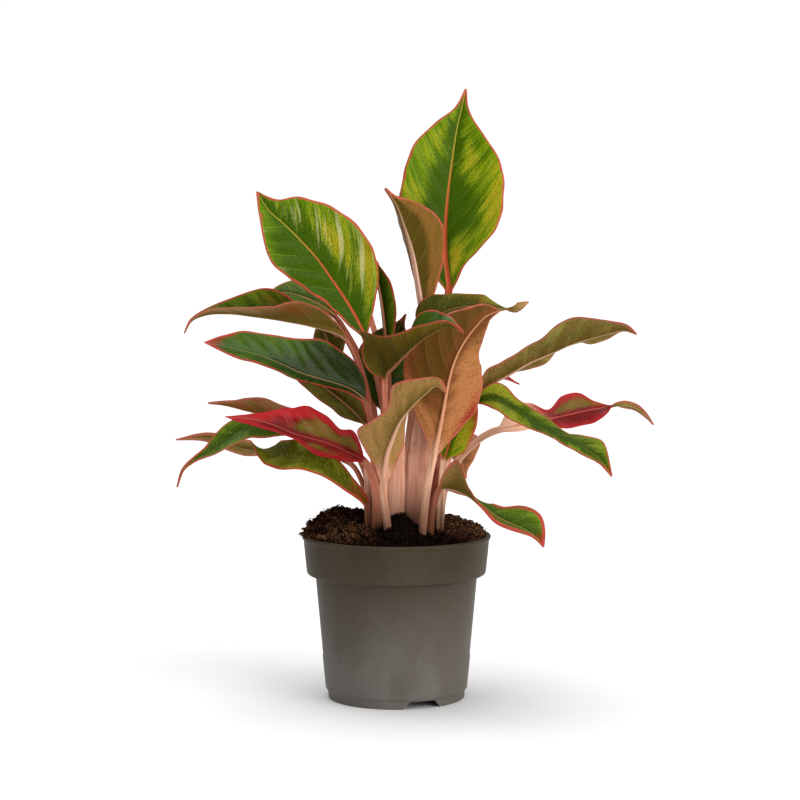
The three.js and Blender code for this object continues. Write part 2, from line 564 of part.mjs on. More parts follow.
function soilHeight(x, y) {
  const radius = Math.hypot(x, y) / 56;
  let height = SOIL_TOP + 7 * (1 - radius ** 2);
  for (const [hx, hy, rise, spread] of HEAPS) {
    height += rise * Math.exp(-((x - hx) ** 2 + (y - hy) ** 2) / (2 * spread ** 2));
  }
  const lumps = Math.sin(0.42 * x + 1.3) * Math.sin(0.37 * y + 0.4)
    + 0.6 * Math.sin(0.83 * x - 0.51 * y);
  return height + 0.9 * lumps * Math.min(1, 6 * (1 - radius));
}

function buildSoil(sleeves) {
  const ring = (radius, heightAt) => Array.from({ length: SOIL_SEGMENTS }, (_, k) => {
    const turn = (k / SOIL_SEGMENTS) * 2 * Math.PI;
    const x = radius * Math.cos(turn);
    const y = radius * Math.sin(turn);
    return new THREE.Vector3(x, y, heightAt(x, y));
  });
  const rings = [
    ...SOIL_SIDE.slice(1).map(([radius, z]) => ring(radius, () => z)),
    ...SOIL_RINGS.map((radius) => ring(radius, soilHeight)),
  ];
  let soil = toSolid(loft(rings));
  for (const sleeve of sleeves) soil = soil.subtract(sleeve);
  return fromSolid(soil);
}

// The hole a stalk stands in: its own lowest rings, grown by the seat all round.
function sleeveAround(rings) {
  const grown = rings.slice(0, 3).map((ring) => {
    const centre = new THREE.Vector3();
    for (const point of ring) centre.addScaledVector(point, 1 / ring.length);
    return ring.map((point) => {
      const outward = point.clone().sub(centre);
      return point.clone().addScaledVector(outward.normalize(), SEAT * 1.3);
    });
  });
  for (const point of grown[0]) point.z -= SEAT;
  return toSolid(loft(grown));
}

// ------------------------------------------------------------------------ plant

function named(name, geometry, surface) {
  const mesh = new THREE.Mesh(geometry, surface);
  mesh.name = name;
  return mesh;
}

const plant = new THREE.Group();
plant.name = 'chinese_evergreen';
plant.add(named('pot', buildPot(), POT_PLASTIC));

const sleeves = [];
for (const [name, stations] of Object.entries(CANES)) {
  const rings = caneRings(stations);
  sleeves.push(sleeveAround(rings));
  plant.add(named(name, loft(rings), CANE));
}
for (const [name, leaf] of Object.entries(LEAVES)) {
  const rings = leafRings(leaf);
  sleeves.push(sleeveAround(rings));
  plant.add(named(name, loft(rings), LEAF));
}
plant.add(named('soil', buildSoil(sleeves), SOIL));

export default plant;
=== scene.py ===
"""Looks of a young Chinese evergreen in its nursery pot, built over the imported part.

Lengths are millimetres until a mesh is made. +Z is up, and the front of the plant
faces -Y, as in the part. Every piece here stands for the part's node of its name.
"""

import math

import bpy
import numpy as np
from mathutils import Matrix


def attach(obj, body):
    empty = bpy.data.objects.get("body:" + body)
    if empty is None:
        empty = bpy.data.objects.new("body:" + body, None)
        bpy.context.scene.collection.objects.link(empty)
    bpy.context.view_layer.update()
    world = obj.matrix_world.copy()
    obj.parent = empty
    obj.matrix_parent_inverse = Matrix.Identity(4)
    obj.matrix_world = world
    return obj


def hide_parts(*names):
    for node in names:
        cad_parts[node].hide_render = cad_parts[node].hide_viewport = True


MM = 0.001
FULL_TURN = 2 * math.pi
FRONT = np.array([0.0, -1.0, 0.0])
UP = np.array([0.0, 0.0, 1.0])

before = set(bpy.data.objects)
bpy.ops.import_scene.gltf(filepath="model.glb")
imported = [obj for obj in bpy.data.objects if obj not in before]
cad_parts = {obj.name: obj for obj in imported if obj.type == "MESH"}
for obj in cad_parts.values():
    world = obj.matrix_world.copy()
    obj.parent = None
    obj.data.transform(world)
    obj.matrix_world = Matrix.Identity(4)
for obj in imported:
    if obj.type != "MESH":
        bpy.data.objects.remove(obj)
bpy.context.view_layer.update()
rng = np.random.default_rng(11)

# ------------------------------------------------------------------ small tools


def hex_colour(code):
    """Linear RGBA of an sRGB colour written as six hex digits."""
    shares = [int(code[i:i + 2], 16) / 255 for i in (0, 2, 4)]
    linear = [s / 12.92 if s <= 0.04045 else ((s + 0.055) / 1.055) ** 2.4 for s in shares]
    return (*linear, 1.0)


def unit(vectors):
    return vectors / np.maximum(np.linalg.norm(vectors, axis=-1, keepdims=True), 1e-9)


def smoothstep(low, high, value):
    share = np.clip((value - low) / (high - low), 0, 1)
    return share * share * (3 - 2 * share)


def lumps(points, size, seed, waves=12):
    """Soft random heights between about -1 and 1 over points, with lumps of that size."""
    draw = np.random.default_rng(seed)
    total = np.zeros(len(points))
    for _ in range(waves):
        direction = unit(draw.normal(size=points.shape[1]))
        pitch = size * draw.uniform(0.7, 1.6)
        total += np.sin(points @ direction * FULL_TURN / pitch + draw.uniform(0, 6.28))
    return total / 5


def link(name, data):
    """A new object with that data, standing in the scene."""
    thing = bpy.data.objects.new(name, data)
    bpy.context.scene.collection.objects.link(thing)
    return thing


def add_piece(name, points, faces, materials, node, material_of_face=None, marks=None):
    """A smooth mesh object in the place of a CAD node. marks: {attribute: one value a point}."""
    mesh = bpy.data.meshes.new(name)
    mesh.from_pydata((np.asarray(points) * MM).tolist(), [], [list(face) for face in faces])
    for material in materials:
        mesh.materials.append(material)
    if material_of_face is not None:
        mesh.polygons.foreach_set("material_index", material_of_face)
    for key, values in (marks or {}).items():
        data = mesh.attributes.new(key, "FLOAT", "POINT").data
        data.foreach_set("value", np.asarray(values, np.float32).ravel())
    mesh.shade_smooth()
    piece = link(name, mesh)
    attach(piece, "root")
    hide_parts(node)
    return piece


def ring_faces(rings, count, first=0):
    """Quads between rings of `count` points each, and the two end caps."""
    faces = []
    for i in range(rings - 1):
        for j in range(count):
            a = first + i * count + j
            b = first + i * count + (j + 1) % count
            faces.append((a, b, b + count, a + count))
    faces.append(tuple(first + j for j in reversed(range(count))))
    faces.append(tuple(first + (rings - 1) * count + j for j in range(count)))
    return faces


def revolved(profile, sides):
    """Rings of points about the pot's axis, one for each [radius, height] of a profile."""
    turn = np.linspace(0, FULL_TURN, sides, endpoint=False)
    return np.array([np.column_stack([radius * np.cos(turn), radius * np.sin(turn), np.full(sides, height)])
                     for radius, height in profile])


class Value:
    """A number that a material works out at each point of a surface."""

    def __init__(self, paint, socket):
        self.paint = paint
        self.socket = socket

    def __add__(self, other):
        return self.paint.math("ADD", self, other)

    def __sub__(self, other):
        return self.paint.math("SUBTRACT", self, other)

    def __mul__(self, other):
        return self.paint.math("MULTIPLY", self, other)

    def __truediv__(self, other):
        return self.paint.math("DIVIDE", self, other)

    def rise(self, low, high):
        """0 where the value is under low, 1 over high, smooth between. low may be over high."""
        return self.paint.node("MapRange", {"Value": self, "From Min": low, "From Max": high},
                               interpolation_type="SMOOTHSTEP")


class Paint:
    """One material and the short calls that wire its nodes. Colours are six hex digits."""

    def __init__(self, name):
        self.material = bpy.data.materials.new(name)
        self.material.use_nodes = True
        self.tree = self.material.node_tree
        self.surface = self.tree.nodes["Principled BSDF"]

    def feed(self, sockets, values):
        """Links or sets sockets. values: {name or number of a socket: what it takes}."""
        for key, value in values.items():
            if isinstance(value, Value):
                self.tree.links.new(value.socket, sockets[key])
            else:
                sockets[key].default_value = hex_colour(value) if isinstance(value, str) else value

    def node(self, kind, values, output=0, **settings):
        made = self.tree.nodes.new("ShaderNode" + kind)
        for key, setting in settings.items():
            setattr(made, key, setting)
        self.feed(made.inputs, values)
        return Value(self, made.outputs[output])

    def finish(self, colour, roughness, specular, **more):
        """Feeds the surface, more by the names of its inputs with _ for a space."""
        values = {"Base Color": colour, "Roughness": roughness, "Specular IOR Level": specular}
        self.feed(self.surface.inputs, values | {key.replace("_", " "): more[key] for key in more})
        return self.material

    def math(self, operation, *values):
        return self.node("Math", dict(enumerate(values)), operation=operation)

    def mix(self, share, a, b):
        return self.node("Mix", {0: share, 6: a, 7: b}, 2, data_type="RGBA")

    def vector(self, x, y, z):
        return self.node("CombineXYZ", {"X": x, "Y": y, "Z": z})

    def mark(self, name):
        """The value that the mesh holds under that name at each point."""
        return self.node("Attribute", {}, "Fac", attribute_name=name)

    def place(self, scale=(1, 1, 1)):
        """The point on the object, in millimetres, stretched by scale."""
        where = self.node("TexCoord", {}, "Object")
        return self.node("Mapping", {"Vector": where, "Scale": [share / MM for share in scale]})

    def height(self):
        """How high the point is, in millimetres."""
        return self.node("SeparateXYZ", {0: self.place()}, "Z")

    def noise(self, vector, size=1.0, detail=2.0, roughness=0.5):
        values = {"Vector": vector, "Scale": 1 / size, "Detail": detail, "Roughness": roughness}
        return self.node("TexNoise", values, "Fac")

    def bump(self, height, depth):
        """A normal for a surface raised by height (0..1) times depth in millimetres."""
        return self.node("Bump", {"Height": height, "Distance": depth * MM})


# ----------------------------------------------------------------- leaf surfaces

VEIN_GAP = 14.0  # between two side veins, measured along the midrib
VEIN_HALF_WIDTH = 0.6

# The tones of each kind of leaf face. shade lies by the midrib and plain by the margin, mottle
# is for speckles and gilt for the thickest of them. cover is the share of the face with patches
# of speckles, dust how many lie between the patches, and line how much the side veins show.
TONE_NAMES = ("shade", "plain", "mottle", "gilt", "rib", "margin", "vein")
TONES = {  # the colours in the order of TONE_NAMES, then cover, dust, line and sheen
    "fresh": ("2e4c00 547400 8c9a18 b09e20 bc5430 bc463c 98a834", 0.2, 0.15, 0.35, 0.04),
    "green": ("203a02 446008 7a8820 989424 ae7048 aa3e34 748238", 0.2, 0.3, 0.3, 0.03),
    # dark: the deeper green of leaves inside the plant, in part painted shade
    "dark": ("102004 2a480c 586a1c 76802a a07850 a83c32 48601f", 0.1, 0.35, 0.3, 0.2),
    "red": ("600a10 9c1a22 464e14 58601c a8463c 9c1c22 b06458", -0.6, 0.12, 0.1, 0.08),
    "olive": ("3e4202 58580a 848226 98902c a0663a aa382e 7e7c2c", 0.2, 0.45, 0.3, 0.0),
    "bronze": ("2e3008 5c4614 6c6c28 7e7c2c 90603e 943e2c 74683a", 0.1, 0.5, 0.3, 0.0),
    "olive_under": ("342a04 5c440e 66682a 707030 a66e4e a44a36 86683a", 0.1, 0.55, 0.35, 0.0),
    "copper_under": ("744020 b47446 4c3e10 4c3e10 d09470 b4604c c08860", -0.3, 0.45, 0.2, 0.0),
    "tan_under": ("6a5220 a47a48 4c561a 848638 d2a084 b2604e a48c54", 0.0, 0.45, 0.3, 0.0),
    "brown_under": ("4a3608 845626 525010 56541a d0a490 b05640 987a4c", 0.1, 0.55, 0.3, 0.0),
}
STALK_BROWN, STALK_PINK, STALK_CREAM = "84422a", "ba725a", "dfb092"
FOOT_DARK_BROWN = "4c301e"  # foot of a stalk or cane, darker brown towards the soil
BLUSH = "8c2216"
# pale yellow of the painted highlight over the bands of speckles
GLOSS_PALE = "e2dcb0"


def foot_darkening(paint):
    """How much darker brown a stalk or cane turns towards the soil: it fades 40 mm above the soil."""
    return paint.height().rise(146, 106) * 0.85


def leaf_paint(name, tones):
    """Ground, speckles along the side veins, midrib, margin and stalk of one face of a leaf."""
    colours, cover, dust, line, sheen = tones
    colour = dict(zip(TONE_NAMES, colours.split()))
    lower = name.endswith("under")
    paint = Paint(name)
    run, off, edge, at, phase, seed = map(paint.mark, ("run", "off", "edge", "at", "phase", "seed"))
    side = paint.math("ABSOLUTE", off)

    def veined_noise(along_flow, across_flow, detail=2):
        """Noise about 0, drawn out along the side veins; the two sizes are in millimetres."""
        where = paint.vector(phase * (VEIN_GAP / along_flow), side * (1 / across_flow), seed)
        return paint.noise(where, 1, detail) - 0.5

    clouds = veined_noise(9, 20)
    streaks = veined_noise(2.2, 9)
    specks = veined_noise(0.55, 0.8, 3)
    inward = edge / (side + edge) - 0.5  # -0.5 at the margin, 0.5 at the midrib
    # the shade mark is painted shade, and painted light where it is below 0, besides the leaf's own darker
    # patches
    darker = inward * 0.9 - streaks * 0.5 - clouds * 1.2 + specks * 0.35 + paint.mark("shade")
    ground = paint.mix(darker.rise(-0.5, 0.5), colour["plain"], colour["shade"])

    speckle = clouds * 2.2 + streaks * 1.6 - inward * 0.7 + paint.mark("speckle") + cover
    dense = speckle.rise(0.0, 1.1) * side.rise(1.0, 4.0)
    grains = (specks + dense * 0.1).rise(-0.03, 0.09)
    mottle = paint.mix(speckle.rise(0.7, 1.5), colour["mottle"], colour["gilt"])
    ground = paint.mix(grains * (dense * (0.85 - dust) + dust), ground, mottle)
    if not lower:
        # whitish bands over the speckles: pale yellow with a painted highlight of the leaf's gloss
        gloss_bands = veined_noise(3.2, 30).rise(0.0, 0.16)
        ground = paint.mix(gloss_bands * dense * paint.mark("pale_and_gloss"), ground, GLOSS_PALE)

    wash = paint.mark("blush") + clouds * 0.9 + specks * 0.7
    ground = paint.mix(wash.rise(0.2, 0.8) * 0.9, ground, BLUSH)

    vein_off = paint.math("PINGPONG", phase + 0.5, 0.5) * VEIN_GAP
    vein_line = vein_off.rise(0.5 * VEIN_GAP - VEIN_HALF_WIDTH, 0.5 * VEIN_GAP)
    ground = paint.mix(vein_line * clouds.rise(-0.08, 0.08) * line, ground, colour["vein"])

    rib_tone = paint.mix(at.rise(0.35, 0.8) * 0.7, colour["rib"], colour["vein"])
    ground = paint.mix((side - paint.mark("rib")).rise(0.3, -0.2), ground, rib_tone)
    rim = (edge + specks * 1.4 + clouds * 2.0 - paint.mark("border")).rise(0.4, -0.4)
    ground = paint.mix(rim * (streaks.rise(-0.15, 0.1) * 0.45 + 0.55), ground, colour["margin"])

    fibres = paint.noise(paint.vector(run * (1 / 30), off * 0.6, seed)) - 0.5
    pale = paint.mark("pale") + fibres * 1.2
    bark = paint.mix(pale.rise(-0.5, 0.35), STALK_BROWN, STALK_PINK)
    bark = paint.mix(pale.rise(0.35, 1.1), bark, STALK_CREAM)
    bark = paint.mix(foot_darkening(paint), bark, FOOT_DARK_BROWN)
    bared = at + specks * 0.15 - inward * 0.08 - paint.mark("bare")
    ground = paint.mix(bared.rise(0.05, -0.1), ground, bark)
    ground = paint.mix(at.rise(0.0, -0.06), ground, bark)

    relief = paint.bump(vein_line * (0.8 if lower else -0.6) + specks * 0.4, 0.15)
    return paint.finish(ground, specks * 0.16 + 0.42, 0.03, Normal=relief,
                        Coat_Weight=sheen, Coat_Roughness=0.28)


# ----------------------------------------------------------------- leaf geometry

PATH_STEPS = 12  # samples along the path between two given points
STALK_STATIONS = 34
BLADE_STATIONS = 84
RIB_STEPS = 4  # points across half the midrib
SHEET_STEPS = 14  # points from the midrib to the margin
STALK_TOP = 2.2  # half width of a stalk where the blade begins
STALK_STRAIGHT = 0.75  # share of the stalk before it begins to open into the blade
STALK_ARC = 0.93  # share of the half circle that its upper and its lower side follow
STALK_ABOVE, STALK_BELOW = 0.35, 0.95  # its heights over and under the path, in half widths
STALK_CHANNEL = {"depth": 0.3, "width": 0.5}  # in half widths
MIDRIB_KEEL = 2.0  # how far the midrib stands out under the blade at its base
MIDRIB_GROOVE = {"depth": 0.35, "width": 1.1}
MIDRIB_HALF_WIDTH = {"base": 1.8, "tip": 0.8}
MIDRIB_LIMIT = 0.45  # widest it may be, as a share of its half of the blade
TIP_HALF_WIDTH = 0.5
FADE_IN = 0.1  # share of the blade over which its fold and curl set in
LEAST_CURL = 1e-6  # radians, so that no arc's radius is infinite
TANGENT_REACH = 1.5  # how far before and after a point the path's direction is taken
SHEET_THICKNESS = {"midrib": 0.8, "edge": 0.45}
VEIN_SLANT, VEIN_BOW = 0.9, 0.015  # a side vein's run forward, by its way out and the square of it
VEIN_SHIFT = 0.35  # of the veins, forward in one half and back in the other, in gaps
QUILT = 0.013  # swell of the sheet between two side veins, as a share of its half width
QUILTED = {"midrib": (1.5, 6), "margin": (0, 5)}  # distances over which the swell sets in
WAVER = [(0.35, 6.3), (0.2, 2.7)]  # waves in the margin's outline: height, length over 2 pi
WAVER_FROM = (3, 9)  # half widths over which these waves set in
FLUTTER = (0.35, 5.1)  # the same waves for the margin's rise and fall
FLUTTER_FROM = (4, 12)
RIB_BAND = {"least": 0.35, "share": 0.018, "tip": 0.15}  # half width of the coloured midrib
BORDER = 1.1  # width of the coloured margin
SEED_STEP = 3.7  # between the patterns of two leaves

# As in the part: readings stand on an upright plane through the pot's axis, seen from
# EYE_DISTANCE in front at EYE_HEIGHT, and slide along the line of sight to their depth.
EYE_DISTANCE = 1430
EYE_HEIGHT = 300


def placed(readings):
    """Where the readings lie, without what they hold after x, depth and z."""
    x, depth, z = np.array([reading[:3] for reading in readings], float).T
    spread = 1 + depth / EYE_DISTANCE
    return np.column_stack([x * spread, depth, EYE_HEIGHT + (z - EYE_HEIGHT) * spread])


def along(values, at):
    """A value, or values spaced evenly over the blade, read at shares of its length."""
    values = np.atleast_1d(values).astype(float)
    if len(values) == 1:
        return np.full(len(at), values[0])
    slopes = np.gradient(values)
    i = np.clip((at * (len(values) - 1)).astype(int), 0, len(values) - 2)
    w = at * (len(values) - 1) - i
    return ((2 * w**3 - 3 * w**2 + 1) * values[i] + (w**3 - 2 * w**2 + w) * slopes[i]
            + (3 * w**2 - 2 * w**3) * values[i + 1] + (w**3 - w**2) * slopes[i + 1])


def curve_through(points):
    """A centripetal Catmull-Rom curve with PATH_STEPS samples to a span."""
    ends = np.vstack([2 * points[0] - points[1], points, 2 * points[-1] - points[-2]])
    w = np.arange(PATH_STEPS)[:, None] / PATH_STEPS
    spans = []
    for p0, p1, p2, p3 in zip(ends, ends[1:], ends[2:], ends[3:]):
        d0, d1, d2 = (max(np.linalg.norm(b - a) ** 0.5, 1e-4)
                      for a, b in ((p0, p1), (p1, p2), (p2, p3)))
        t1 = ((p1 - p0) / d0 - (p2 - p0) / (d0 + d1) + (p2 - p1) / d1) * d1
        t2 = ((p2 - p1) / d1 - (p3 - p1) / (d1 + d2) + (p3 - p2) / d2) * d1
        spans.append(p1 + t1 * w + (3 * (p2 - p1) - 2 * t1 - t2) * w**2
                     + (2 * (p1 - p2) + t1 + t2) * w**3)
    return np.vstack([*spans, points[-1:]])


class Path:
    """A leaf's path from the foot of its stalk to its tip."""

    def __init__(self, leaf):
        readings = leaf["path"]
        base = [len(reading) for reading in readings].index(4)  # the first that has a roll
        rolls = [readings[base][3]] * base
        for reading in readings[base:]:
            rolls.append(reading[3] if len(reading) == 4 else rolls[-1])
        self.rolls = np.radians(rolls)
        self.samples = curve_through(placed(readings))
        steps = np.linalg.norm(np.diff(self.samples, axis=0), axis=1)
        self.run = np.concatenate([[0], np.cumsum(steps)])
        self.length = self.run[-1]
        self.blade_start = self.run[base * PATH_STEPS]
        self.heading = leaf["heading"]
        self.facing = leaf["facing"]

    def points_at(self, distance):
        return np.column_stack([np.interp(distance, self.run, axis) for axis in self.samples.T])

    def frames_at(self, distance):
        """Origins, upper normals and directions to the right half, as in the part."""
        before, after = (self.points_at(distance + reach) for reach in (-TANGENT_REACH, TANGENT_REACH))
        tangent = unit(after - before)
        front = unit(self.facing - (tangent @ self.facing)[:, None] * tangent)
        across = np.cross(tangent, front) * self.heading
        knots = np.interp(distance, self.run, np.arange(len(self.run))) / PATH_STEPS
        roll = np.interp(knots, np.arange(len(self.rolls)), self.rolls)[:, None]
        normal = np.cos(roll) * front + np.sin(roll) * across
        return self.points_at(distance), normal, np.cross(tangent, normal)


def half_grid(half, side, at, run, frames, seed):
    """Upper and lower points of one half of a blade, midrib first, and where they are."""
    origin, normal, right = (values[:, None, :] for values in frames)
    fade = np.minimum(1, at / FADE_IN)
    fold = (np.radians(along(half["fold"], at)) * fade)[:, None]
    curl = (np.radians(along(half["curl"], at)) * fade + LEAST_CURL)[:, None]
    width = np.maximum(TIP_HALF_WIDTH, along(half["width"], at))
    (high, long), (low, short) = WAVER
    waver = high * np.sin(run / long + seed + side) + low * np.sin(run / short + 2 * seed)
    width = (width + waver * smoothstep(*WAVER_FROM, width))[:, None]
    base, tip = MIDRIB_HALF_WIDTH["base"], MIDRIB_HALF_WIDTH["tip"]
    rib_share = np.minimum(base + (tip - base) * at[:, None], MIDRIB_LIMIT * width) / width
    inner = np.arange(RIB_STEPS)[None, :] / RIB_STEPS
    outer = np.linspace(0, 1, SHEET_STEPS)[None, :]
    v = np.hstack([rib_share * inner, rib_share + (1 - rib_share) * outer])

    angle = fold + curl * v
    out = side * width * (np.sin(angle) - np.sin(fold)) / curl
    rise = width * (np.cos(fold) - np.cos(angle)) / curl
    outward = np.cos(angle)[..., None] * normal - side * np.sin(angle)[..., None] * right
    point = origin + out[..., None] * right + rise[..., None] * normal

    off = v * width
    edge = width - off
    phase = (run[:, None] - VEIN_SLANT * off - VEIN_BOW * off**2) / VEIN_GAP + VEIN_SHIFT * side
    swell = smoothstep(*QUILTED["midrib"], off) * smoothstep(*QUILTED["margin"], edge) * fade[:, None]
    quilt = -QUILT * max(half["width"]) * np.cos(FULL_TURN * phase) * swell
    lift, length = FLUTTER
    flutter = lift * v**3 * np.sin(run[:, None] / length + seed + side)
    flutter *= smoothstep(*FLUTTER_FROM, width)
    groove = MIDRIB_GROOVE["depth"] * np.exp(-((off / MIDRIB_GROOVE["width"]) ** 2))
    height = quilt + flutter - groove
    upper = point + height[..., None] * outward
    keel = np.sqrt(np.maximum(0, 1 - (v / rib_share) ** 2)) * MIDRIB_KEEL * (1 - at[:, None]) ** 0.8
    sheet = SHEET_THICKNESS["midrib"] + (SHEET_THICKNESS["edge"] - SHEET_THICKNESS["midrib"]) * v
    down = normal + (outward - normal) * smoothstep(0, 1, v / rib_share)[..., None]
    lower = point + ((height - sheet - keel)[..., None]) * down
    return upper, lower, {"off": side * off, "edge": edge, "phase": phase}


def closed_rows(left, right):
    """One ring a station: left margin to right margin above, then back below."""
    upper = np.concatenate([left[0][:, ::-1], right[0][:, 1:]], axis=1)
    lower = np.concatenate([right[1][:, ::-1], left[1][:, 1:]], axis=1)
    return np.concatenate([upper, lower], axis=1)


def closed_marks(left, right):
    """A value a point of closed_rows, from one value a point of each half."""
    upper = np.concatenate([left[:, ::-1], right[:, 1:]], axis=1)
    return np.concatenate([upper, upper[:, ::-1]], axis=1)


def blobs(spots, at, across):
    """Sum of a leaf's soft spots, at points given as shares of the blade and its half width."""
    total = np.zeros(np.broadcast(at, across).shape)
    for *place, amount in spots:
        centre, reach, off_centre, off_reach = np.array([*place, *WHOLE_WIDTH][:4]) / 100
        total += amount * np.exp(-(((at - centre) / reach) ** 2) - ((across - off_centre) / off_reach) ** 2)
    return total


def stalk_rings(half_width, frames, columns):
    """Oval stalk sections with a shallow channel above, point for point like a blade's."""
    origin, normal, right = (values[:, None, :] for values in frames)
    turn = np.linspace(-1, 1, columns)[None, :] * FULL_TURN / 4 * STALK_ARC
    half_width = half_width[:, None]
    depth = half_width * np.cos(turn)
    channel = STALK_CHANNEL["depth"] * half_width * np.exp(-(np.sin(turn) / STALK_CHANNEL["width"]) ** 2)
    edge = origin + (half_width * np.sin(turn))[..., None] * right
    upper = edge + (STALK_ABOVE * depth - channel)[..., None] * normal
    lower = edge - (STALK_BELOW * depth)[..., None] * normal
    return np.concatenate([upper, lower[:, ::-1]], axis=1)


def leaf_piece(name, leaf, seed):
    path = Path(leaf)
    stalk_run = np.linspace(0, path.blade_start, STALK_STATIONS, endpoint=False)
    blade_at = np.linspace(0, 1, BLADE_STATIONS)
    distance = np.concatenate([stalk_run, path.blade_start + (path.length - path.blade_start) * blade_at])
    at = np.concatenate([np.zeros(STALK_STATIONS), blade_at])
    run = distance - path.blade_start
    frames = path.frames_at(distance)

    left = half_grid(leaf["left"], -1, at, run, frames, seed)
    right = half_grid(leaf["right"], 1, at, run, frames, seed)
    blade = closed_rows(left, right)
    rows, count = blade.shape[:2]
    share = np.minimum(distance / path.blade_start, 1)
    stalk = stalk_rings(leaf["sheath"] + (STALK_TOP - leaf["sheath"]) * share, frames, count // 2)
    opened = smoothstep(STALK_STRAIGHT, 1, share)[:, None, None]
    rings = stalk * (1 - opened) + blade * opened

    marks = {key: closed_marks(left[2][key], right[2][key]) for key in left[2]}
    across = marks["off"] / (np.abs(marks["off"]) + marks["edge"])
    widest = max(*leaf["left"]["width"], *leaf["right"]["width"])
    rib_base = (RIB_BAND["least"] + RIB_BAND["share"] * widest) * leaf["midrib"]
    marks["run"] = run[:, None]
    marks["at"] = np.where(run < 0, run / path.blade_start, at)[:, None]
    marks["rib"] = (RIB_BAND["tip"] + (rib_base - RIB_BAND["tip"]) * (1 - at) ** 1.6)[:, None]
    marks["border"] = BORDER * leaf["border"]
    marks["seed"] = SEED_STEP * seed
    for key in ("pale", "bare", "pale_and_gloss"):
        marks[key] = leaf[key]
    for key in ("speckle", "shade", "blush"):
        marks[key] = blobs(leaf[key], marks["at"], across)
    marks = {key: np.broadcast_to(values, (rows, count)) for key, values in marks.items()}
    under = [0 if j < count // 2 else 1 for _ in range(rows - 1) for j in range(count)] + [1, 1]
    materials = [paints[tone] for tone in leaf["tones"]]
    add_piece(name + "_look", rings.reshape(-1, 3), ring_faces(rows, count), materials, name,
              under, marks)


def half(fold, curl, width):
    return {"fold": fold, "curl": curl, "width": width}


OVAL = np.array([0.1, 0.38, 0.66, 0.87, 0.98, 1, 0.93, 0.76, 0.46, 0.15, 0.02])
WHOLE_WIDTH = (0, 200)  # centre and reach of a spot that lies right across the blade

# What a leaf has unless LEAVES says otherwise.
COMMON = dict(heading=1, facing=FRONT, sheath=2.7, midrib=1, border=1, pale=0.3, bare=-0.1, pale_and_gloss=0,
              speckle=[], shade=[], blush=[])
